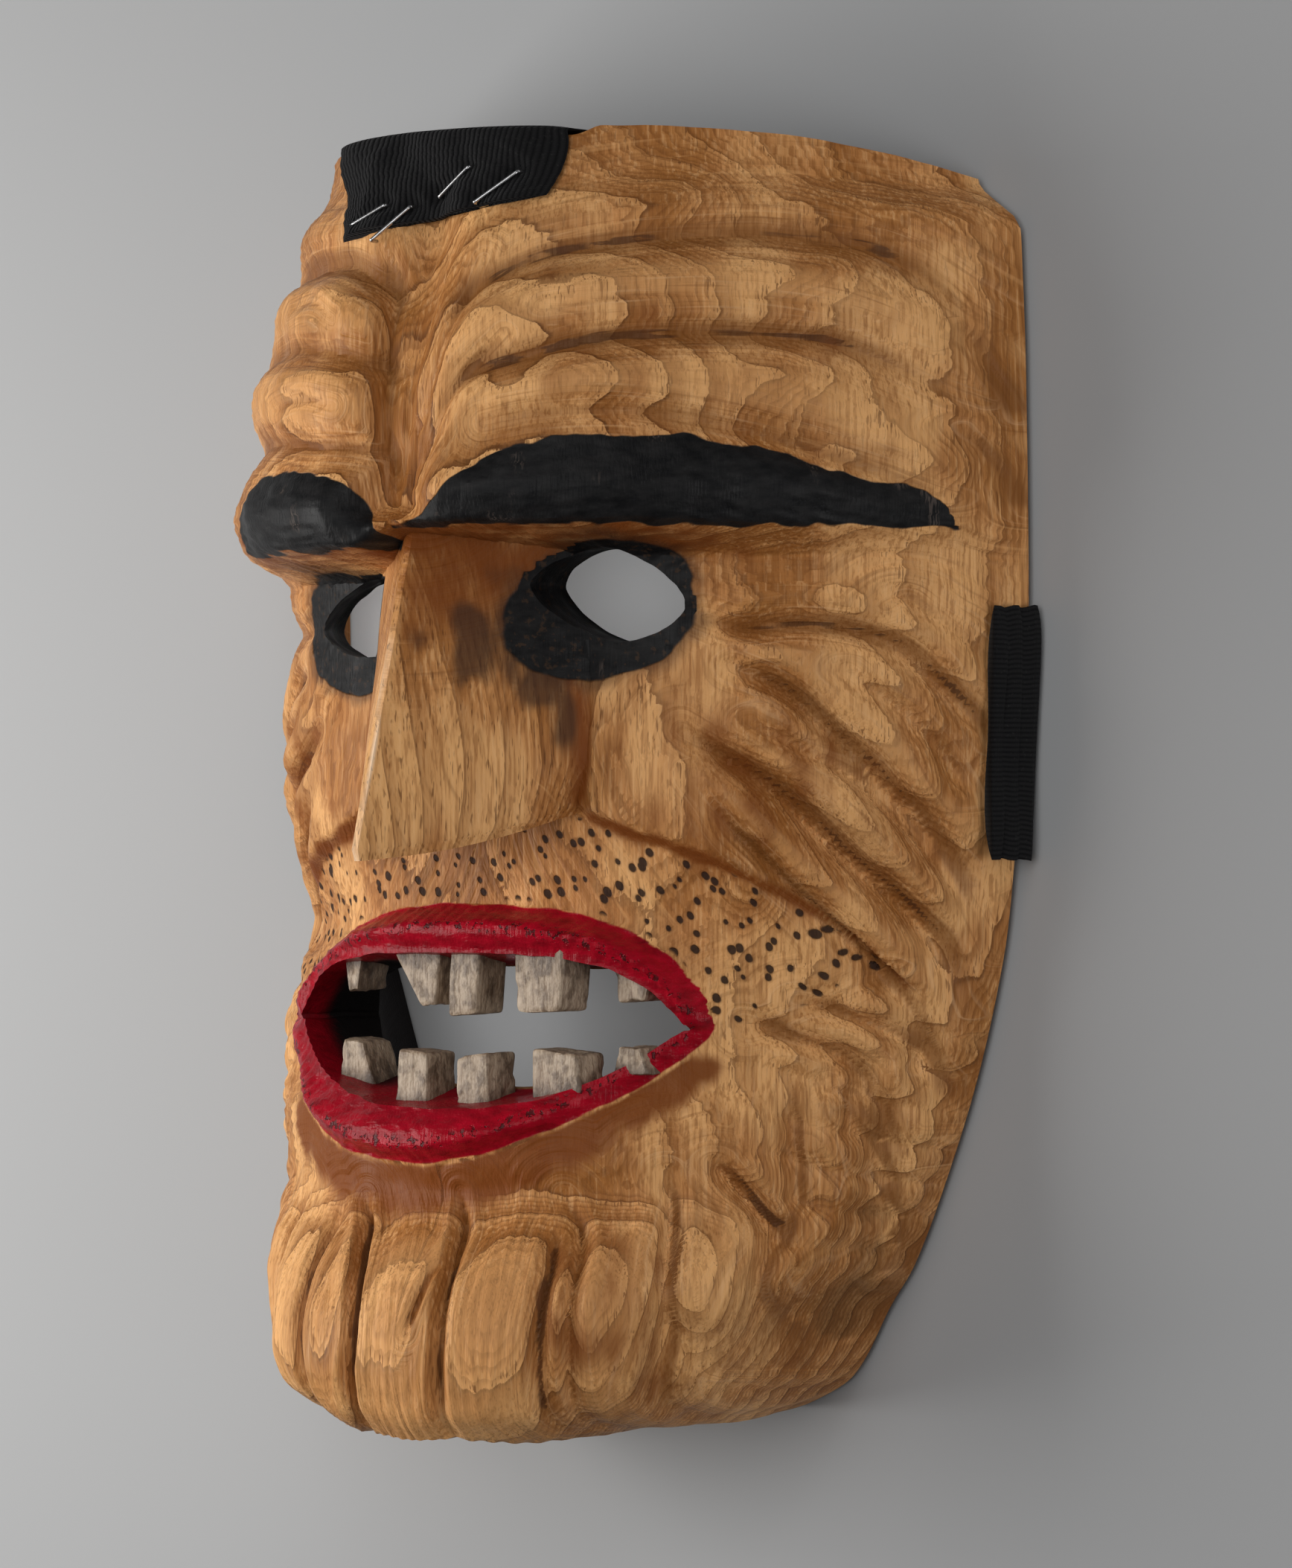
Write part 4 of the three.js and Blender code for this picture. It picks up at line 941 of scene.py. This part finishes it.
    # Painted shade: the red darkens towards and into the opening
    red_tone = n.coat(red_tone, (0.150, 0.003, 0.008), n.step(lip, 5.5, 12.0), 0.45)
    red_tone = n.coat(red_tone, (0.040, 0.010, 0.010), nicks, 0.85)
    tone = n.mix(red, tone, red_tone)
    # Painted shade: near-black deep in the far corner of the mouth
    tone = n.mix(n.field("throat"), tone, (0.008, 0.006, 0.006))

    rough = n.plus(n.blend(wear, 0.40, 0.58), n.times(pores, 0.15))
    rough = n.blend(black, rough, n.blend(wear, 0.38, 0.60))
    rough = n.blend(red, rough, n.blend(brush, 0.18, 0.40))
    rough = n.blend(n.most(inside, n.times(dots, 0.8)), rough, 0.75)

    # Grain, gouge strokes, brush strokes and the pressed-in dots
    grain = n.times(n.noise(at, (0.6, 12.0, 0.6), 1.0, 0.6), 0.13)
    cuts = n.times(n.plus(stroke, n.times(shine, combed, 0.3)), 0.50, n.rest(n.most(black, red)))
    strokes = n.times(brush, n.plus(n.times(black, 0.14), n.times(red, 0.42)))
    relief = n.plus(grain, cuts, strokes)
    relief = n.math("SUBTRACT", relief, n.times(n.plus(dots, nicks), 0.32))
    return n.finish(Base_Color=tone, Roughness=rough, Normal=n.bump(relief), Specular_IOR_Level=0.12)


def tooth_material():
    """Whittled pale wood, grey with handling and dark towards the gum."""
    n = Nodes("tooth_wood")
    at = n.position()
    patch = n.noise(at, (3.0, 4.2, 3.0), 3.0, 0.62)
    grain = n.noise(at, (0.7, 7.0, 0.7), 2.0, 0.6)
    tone = n.ramp(grain, [(0.30, (0.480, 0.375, 0.270)), (0.55, (0.370, 0.275, 0.190)),
                          (0.75, (0.21, 0.14, 0.088))])
    tone = n.coat(tone, (0.130, 0.085, 0.052), n.step(patch, 0.44, 0.66), 0.78)
    root = n.plus(n.field("root"), n.spread(patch, 0.35))
    tone = n.coat(tone, (0.045, 0.024, 0.016), n.step(root, 0.35, 0.95), 0.75)
    relief = n.plus(n.times(patch, 0.7), n.times(grain, 0.15))
    return n.finish(Base_Color=tone, Roughness=0.55, Normal=n.bump(relief))


def elastic_material(name, rib_gap, rib_depth):
    """Black ribbed elastic; the ribs run along the band."""
    n = Nodes(name)
    rib = n.rib(n.field("across"), rib_gap)
    weave = n.rib(n.field("along"), WEAVE_GAP)
    lint = n.noise(n.position(), (0.8, 0.8, 0.8), 2.0, 0.7)
    # Painted shade: darker in the grooves between the ribs, lighter on their crests
    tone = n.mix(rib, (0.0045, 0.0045, 0.005), (0.013, 0.0125, 0.013))
    tone = n.coat(tone, (0.045, 0.043, 0.042), n.step(lint, 0.60, 0.74), 0.30)
    relief = n.plus(n.times(rib, rib_depth), n.times(weave, rib, 0.4 * rib_depth))
    return n.finish(Base_Color=tone, Roughness=0.86, Normal=n.bump(relief), Sheen_Weight=0.04,
                    Sheen_Roughness=0.5, Specular_IOR_Level=0.07)


def steel_material():
    n = Nodes("staple_steel")
    dull = n.noise(n.position(), (1.2, 1.2, 1.2), 3.0)
    tone = n.ramp(dull, [(0.35, (0.62, 0.62, 0.63)), (0.7, (0.42, 0.41, 0.40))])
    return n.finish(Base_Color=tone, Metallic=1.0, Roughness=n.blend(dull, 0.22, 0.42))


def floor_material():
    n = Nodes("studio_floor")
    cloud = n.noise(n.position(), (600, 600, 600))
    tone = n.ramp(cloud, [(0.3, (0.378, 0.381, 0.385)), (0.7, (0.408, 0.411, 0.415))])
    return n.finish(Base_Color=tone, Roughness=0.9)


# Elastic bands
SIDE_BAND = dict(low_y=-17.0, high_y=40.0, left_drop=11.0, reach=12.0, sag=6.0, flare=3.0)
FOLD_LEVELS = (4.0, 8.3)
TOP_STRAP = dict(half=28.5, thick=1.8, lower_left=122.0, lower_right=130.0)
# Staples: middle across and up, length and slope
STAPLES = [(-16.5, 127.5, 10, 0.45), (-9.5, 125.2, 10.5, 1.05), (5, 134, 10.5, 0.75),
           (17, 132.2, 10.5, 0.88)]
STAPLE_WIRE = 0.42
# From each end: way along the crown, and way down into the elastic
STAPLE_BEND = [(0, 2.2), (0, 0.7), (0.25, 0.1), (0.8, -0.08)]


def row(x, y, z):
    """A row of points; a single number stands for all of them."""
    return np.stack(np.broadcast_arrays(np.asarray(x, float), y, z), -1)


def strip(stations, steps):
    """Smooth rows of points and of outward ways, from rows that each face one way."""
    ways = [np.broadcast_to(way, spots.shape) for spots, way in stations]
    return smooth_rows([spots for spots, _ in stations], steps), smooth_rows(ways, steps)


def band(name, centres, outs, thickness):
    """A band with rounded edges round rows of centre points, which knows its own length and width."""
    outs = unit(outs)
    rows, across = centres.shape[:2]
    side = np.linspace(-1, 1, across)
    half = 0.5 * thickness * (1 - np.abs(side) ** 8)[None, :, None]
    rings = np.concatenate([centres + outs * half, (centres - outs * half)[:, ::-1]], axis=1)
    middle = across // 2
    piece = closed_tube(name, rings, centres[0, middle], centres[-1, middle])
    gone = np.linalg.norm(np.diff(centres[:, middle], axis=0), axis=-1)
    length = np.concatenate([[0], np.cumsum(gone)])
    width = np.linalg.norm(np.diff(centres[rows // 2], axis=0), axis=-1).sum()
    over = np.concatenate([side, side[::-1]]) * width / 2
    for field, values, ends in (("across", over, [0, 0]), ("along", length[:, None], [0, length[-1]])):
        store(piece.data, field, np.append(np.broadcast_to(values, (rows, 2 * across)), ends))
    return piece, width * MM, length[-1] * MM


def rim_wall(side, y, z):
    """Outside of the rim wall at a height, found by walking in from the rim."""
    half = float(curve(HALF, y))
    xs = np.arange(half, half * 0.8, -0.05)
    high = face_height(side * xs, np.full_like(xs, y)) >= z
    return float(xs[np.argmax(high)]) if high.any() else float(xs[-1])


def side_band():
    """Round the back from rim to rim, turned up over both side walls."""
    off = BAND_THICK / 2 + GAP
    clear = 1.0
    level = np.linspace(SIDE_BAND["low_y"], SIDE_BAND["high_y"], 33)
    middle = (SIDE_BAND["low_y"] + SIDE_BAND["high_y"]) / 2
    reach = SIDE_BAND["reach"]

    def height(hand):
        return level - (SIDE_BAND["left_drop"] if hand < 0 else 0)

    def wrap(hand, z):
        y = middle + (height(hand) - middle) * (1 + 0.012 * math.sin(1.3 * z))
        x = np.array([rim_wall(hand, at, z) + off + clear for at in y])
        fold = sum(bell(z, at, 1.1) for at in FOLD_LEVELS)
        x = x - 0.75 * fold + 0.35 * np.sin(level / 5.3 + z) * (z / reach)
        x = x + SIDE_BAND["flare"] * np.linspace(1, 0, len(level)) ** 4
        return row(hand * x, y, z), (hand, 0, 0.15)

    def turn(hand):
        x = np.array([rim_wall(hand, at, 0.0) + off * 0.72 for at in height(hand)])
        return row(hand * x, height(hand), -off * 0.66), (hand, 0, -1.0)

    def flat(x):
        drop = SIDE_BAND["left_drop"] * clamp01((90 - x) / 180) + SIDE_BAND["sag"] * (1 - (x / 90) ** 2)
        return row(x, level - drop, 0.06 - off), (0, 0, -1.0)

    levels = (reach, 9.6, 8.3, 7.0, 5.2, 4.0, 2.8, 1)
    stations = [wrap(-1, z) for z in levels] + [turn(-1)] + [flat(x) for x in range(-90, 91, 15)]
    stations += [turn(1)] + [wrap(1, z) for z in levels[::-1]]
    return band("side_band_elastic", *strip(stations, 4), BAND_THICK)


def pucker(x, y):
    """How the strap's front lies: pressed down under the staples and lifted between and beside them."""
    lift = np.zeros_like(x)
    for sx, sy, length, slope in STAPLES:
        lean = math.atan(slope)
        u = (x - sx) * math.cos(lean) + (y - sy) * math.sin(lean)
        v = -(x - sx) * math.sin(lean) + (y - sy) * math.cos(lean)
        over = np.maximum(np.abs(u) - length / 2, 0)
        lift -= 1.3 * bell(v, 0, 2.2) * bell(over, 0, 2.0)
        for end in (-1, 1):
            lift -= 0.6 * bell(u, end * length / 2, 2.0) * bell(v, 0, 5.0)
    lift += 0.9 * bell(x + 20 - 0.45 * (y - 130), 0, 2.4) + 0.7 * bell(x - 9 - 0.3 * (y - 135), 0, 3.0)
    lift += 0.6 * np.sin(x / 3.1 + y / 7.0) * bell(y, 141, 6)
    return lift


def top_strap():
    """Stapled on the forehead, over the top edge and down inside to the band at the back."""
    thick = TOP_STRAP["thick"]
    off = thick / 2 + GAP
    seat = TOP_Y - STRAP_SEAT
    side = np.linspace(-1, 1, 65)
    left = ease(-0.3, -1, side)
    x = side * TOP_STRAP["half"]
    end = TOP_STRAP["lower_left"] + (TOP_STRAP["lower_right"] - TOP_STRAP["lower_left"]) * (side + 1) / 2
    front = []
    for share in np.linspace(0, 1, 22):
        y = end + (seat - 1.2 - end) * share
        wavy = 0.8 * np.sin(y / 4.2) * ease(0.75, 1, np.abs(side)) * np.sign(side)
        skew = left * (3.5 - 6.0 * ease(0, 1, share))
        spots = face_points(x + wavy + skew, y)
        spots[:, 2] += off + 1.2 + pucker(x, y) + 6.0 * left * ease(0.35, 1, share)
        spots[:, 2] += 0.8 * math.exp(-(share / 0.06) ** 2) * ease(0.2, -0.4, side)
        front.append(spots)
    front_way = (0, 0.3, 1.0)

    # Over the edge, down the inside of the forehead and along the floor under the side band
    x = x - 2.5 * left
    edge_z = face_height(x, np.full_like(x, seat)) + 6.0 * left
    over_edge = row(x, seat + off * 0.9 - 1.0 * left, edge_z + off * 0.6 + 1)
    stations = [(front[-1], front_way), (over_edge, (0, 1, 1.0))]
    stations += [(row(x, seat + off + 0.1 - 0.6 * left, edge_z - drop), (0, 1.0, 0)) for drop in (4, 14)]
    low = -(BAND_THICK + GAP) + thick / 2 + 0.1
    hangs = [(146, 52, 1, 0.1), (141, 40, 5, 0.35), (132, 26, 11, 0.75), (119, 13, 19, 1), (103, 4, 27, 1.2),
             (88, low, 33, math.pi / 2), (66, low, 36, math.pi / 2), (39, low, 37, math.pi / 2)]
    stations += [(row(x + shift, y - STRAP_SEAT - 0.4, z), (0, math.cos(tilt), -math.sin(tilt)))
                 for y, z, shift, tilt in hangs]
    rest, rest_ways = strip(stations, 5)
    front_ways = np.broadcast_to(front_way, np.shape(front))
    return band("top_strap_elastic", np.concatenate([front, rest[1:]]),
                np.concatenate([front_ways, rest_ways[1:]]), thick)


def staple(index, x, y, length, slope):
    """A wire staple: a straight crown whose ends bend down into the elastic."""
    lean = math.atan(slope)
    reach = np.array([math.cos(lean), math.sin(lean), 0]) * length / 2
    ends = []
    for side in (-1, 1):
        spot = np.array([x, y, 0.0]) + reach * side
        spot[2] = face_points(spot[:1], spot[1:2])[0, 2] + TOP_STRAP["thick"] + GAP + 1.0
        ends.append(spot)
    down = np.array([0, 0, -1.0])
    inward = unit(ends[1] - ends[0])
    first = [ends[0] + inward * along + down * deep for along, deep in STAPLE_BEND]
    last = [ends[1] - inward * along + down * deep for along, deep in STAPLE_BEND[::-1]]
    path = smooth_rows(first + last, 4)
    ahead = unit(np.gradient(path, axis=0))
    flat = unit(np.cross(ahead, np.tile(np.cross(inward, down), (len(path), 1))))
    wide = np.cross(flat, ahead)
    turns = np.linspace(0, 2 * math.pi, 12, endpoint=False)
    circle = np.cos(turns)[:, None] * flat[:, None] + np.sin(turns)[:, None] * wide[:, None]
    rings = path[:, None] + STAPLE_WIRE * circle
    return closed_tube(f"wire_staple_{index}", rings, path[0], path[-1])


# The pieces, each in the place of its solid
# Edges steeper than this stay sharp
SHARP_ANGLE = math.radians(38)


def shade_smooth(piece):
    piece.data.polygons.foreach_set("use_smooth", [True] * len(piece.data.polygons))


def dress(piece, material):
    piece.data.materials.append(material)
    shade_smooth(piece)


def carved_mask():
    body = outer_block()
    boolean(body, nose_block(), "UNION")
    boolean(body, hollow_block(), "DIFFERENCE")
    for side in (1, -1):
        boolean(body, eye_hole(side), "DIFFERENCE")
    boolean(body, mouth_hole(), "DIFFERENCE")
    paint_fields(body)
    body.data.materials.clear()
    body.data.materials.append(wood_material())
    body.data.polygons.foreach_set("material_index", [0] * len(body.data.polygons))
    material = tooth_material()
    teeth = [tooth("tooth", *shape) for shape in UPPER_TEETH + LOWER_TEETH]
    for block in teeth:
        block.data.materials.append(material)
    bpy.ops.object.select_all(action="DESELECT")
    for block in teeth + [body]:
        block.select_set(True)
    bpy.context.view_layer.objects.active = body
    bpy.ops.object.join()
    return body


mask = carved_mask()
bpy.context.view_layer.objects.active = mask
shade_smooth(mask)
mask.data.set_sharp_from_angle(angle=SHARP_ANGLE)
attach(mask, "root")
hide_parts("carved_mask")

around, around_width, around_length = side_band()
dress(around, elastic_material("side_elastic", 1.1, 0.12))
over, over_width, over_length = top_strap()
dress(over, elastic_material("top_elastic", 1.3, 0.30))
for piece, node, width, length, held in ((around, "side_band", around_width, around_length, "stretched"),
                                         (over, "top_strap", over_width, over_length, "folded")):
    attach(piece, "root")
    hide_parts(node)

steel = steel_material()
for index, place in enumerate(STAPLES, 1):
    wire = staple(index, *place)
    dress(wire, steel)
    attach(wire, "root")
    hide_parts(f"staple_{index}")

# Floor, light and camera
floor_mesh = bmesh.new()
bmesh.ops.create_grid(floor_mesh, x_segments=2, y_segments=2, size=3.0)
floor_data = bpy.data.meshes.new("floor")
floor_mesh.to_mesh(floor_data)
floor_mesh.free()
floor_data.materials.append(floor_material())
floor = show("floor", floor_data)

RIGHT = Vector((math.cos(VIEW_TURN), 0, -math.sin(VIEW_TURN)))
UP = Vector((0, 1, 0))
BACK = Vector((math.sin(VIEW_TURN), 0, math.cos(VIEW_TURN)))
AIM = Vector((0.0, -0.0016, 0.06))


def soft_light(name, place, size, watts, colour=(1, 1, 1), aim=AIM):
    """A square soft box aimed at a point."""
    data = bpy.data.lights.new(name, "AREA")
    data.size = size
    data.energy = watts
    data.color = colour
    lamp = show(name, data)
    lamp.location = place
    lamp.rotation_euler = (aim - place).to_track_quat("-Z", "Y").to_euler()
    return lamp


def from_viewer(right, up, back):
    """A place given as metres to the viewer's right, up and towards the viewer."""
    return AIM + RIGHT * right + UP * up + BACK * back


soft_light("key", Vector((-0.45, -0.04, 0.42)), 0.45, 3.4, (1.0, 0.99, 0.97))
soft_light("front", from_viewer(-0.42, 0.18, 1.35), 0.9, 7.0)
soft_light("low_right", Vector((1.1, -0.12, 0.15)), 0.50, 3.1)
soft_light("above", from_viewer(-0.10, 0.95, 0.9), 0.6, 1.9)
# Faint light within the hollow: place, size and watts
GLOWS = [(-0.008, 0.044, 0.03, 0.006), (-0.074, 0.036, 0.014, 0.014), (-0.050, -0.056, 0.05, 0.009)]
for index, (x, y, size, watts) in enumerate(GLOWS, 1):
    spot = Vector((x, y, 0.03))
    glow = soft_light(f"inside_{index}", spot, size, watts, aim=spot - Vector((0, 0, 1)))
    glow.visible_camera = False

world = bpy.data.worlds.new("studio")
world.use_nodes = True
background = world.node_tree.nodes["Background"]
background.inputs["Color"].default_value = (0.94, 0.96, 1.0, 1)
background.inputs["Strength"].default_value = 0.05
bpy.context.scene.world = world

lens = bpy.data.cameras.new("camera")
lens.sensor_fit = "VERTICAL"
lens.sensor_height = SENSOR
lens.lens = FOCAL_PIXELS / PHOTO_HEIGHT * SENSOR
lens.clip_start = 0.05
lens.clip_end = 20
camera = show("camera", lens)
turn = Matrix((RIGHT, UP, BACK)).transposed().to_4x4()
spot = (Vector(CAMERA_SPOT) + Vector(MASK_SHIFT)) * MM
camera.matrix_world = Matrix.Translation(spot) @ turn
bpy.context.scene.camera = camera
bpy.context.scene.view_settings.view_transform = "Standard"

bpy.context.view_layer.update()
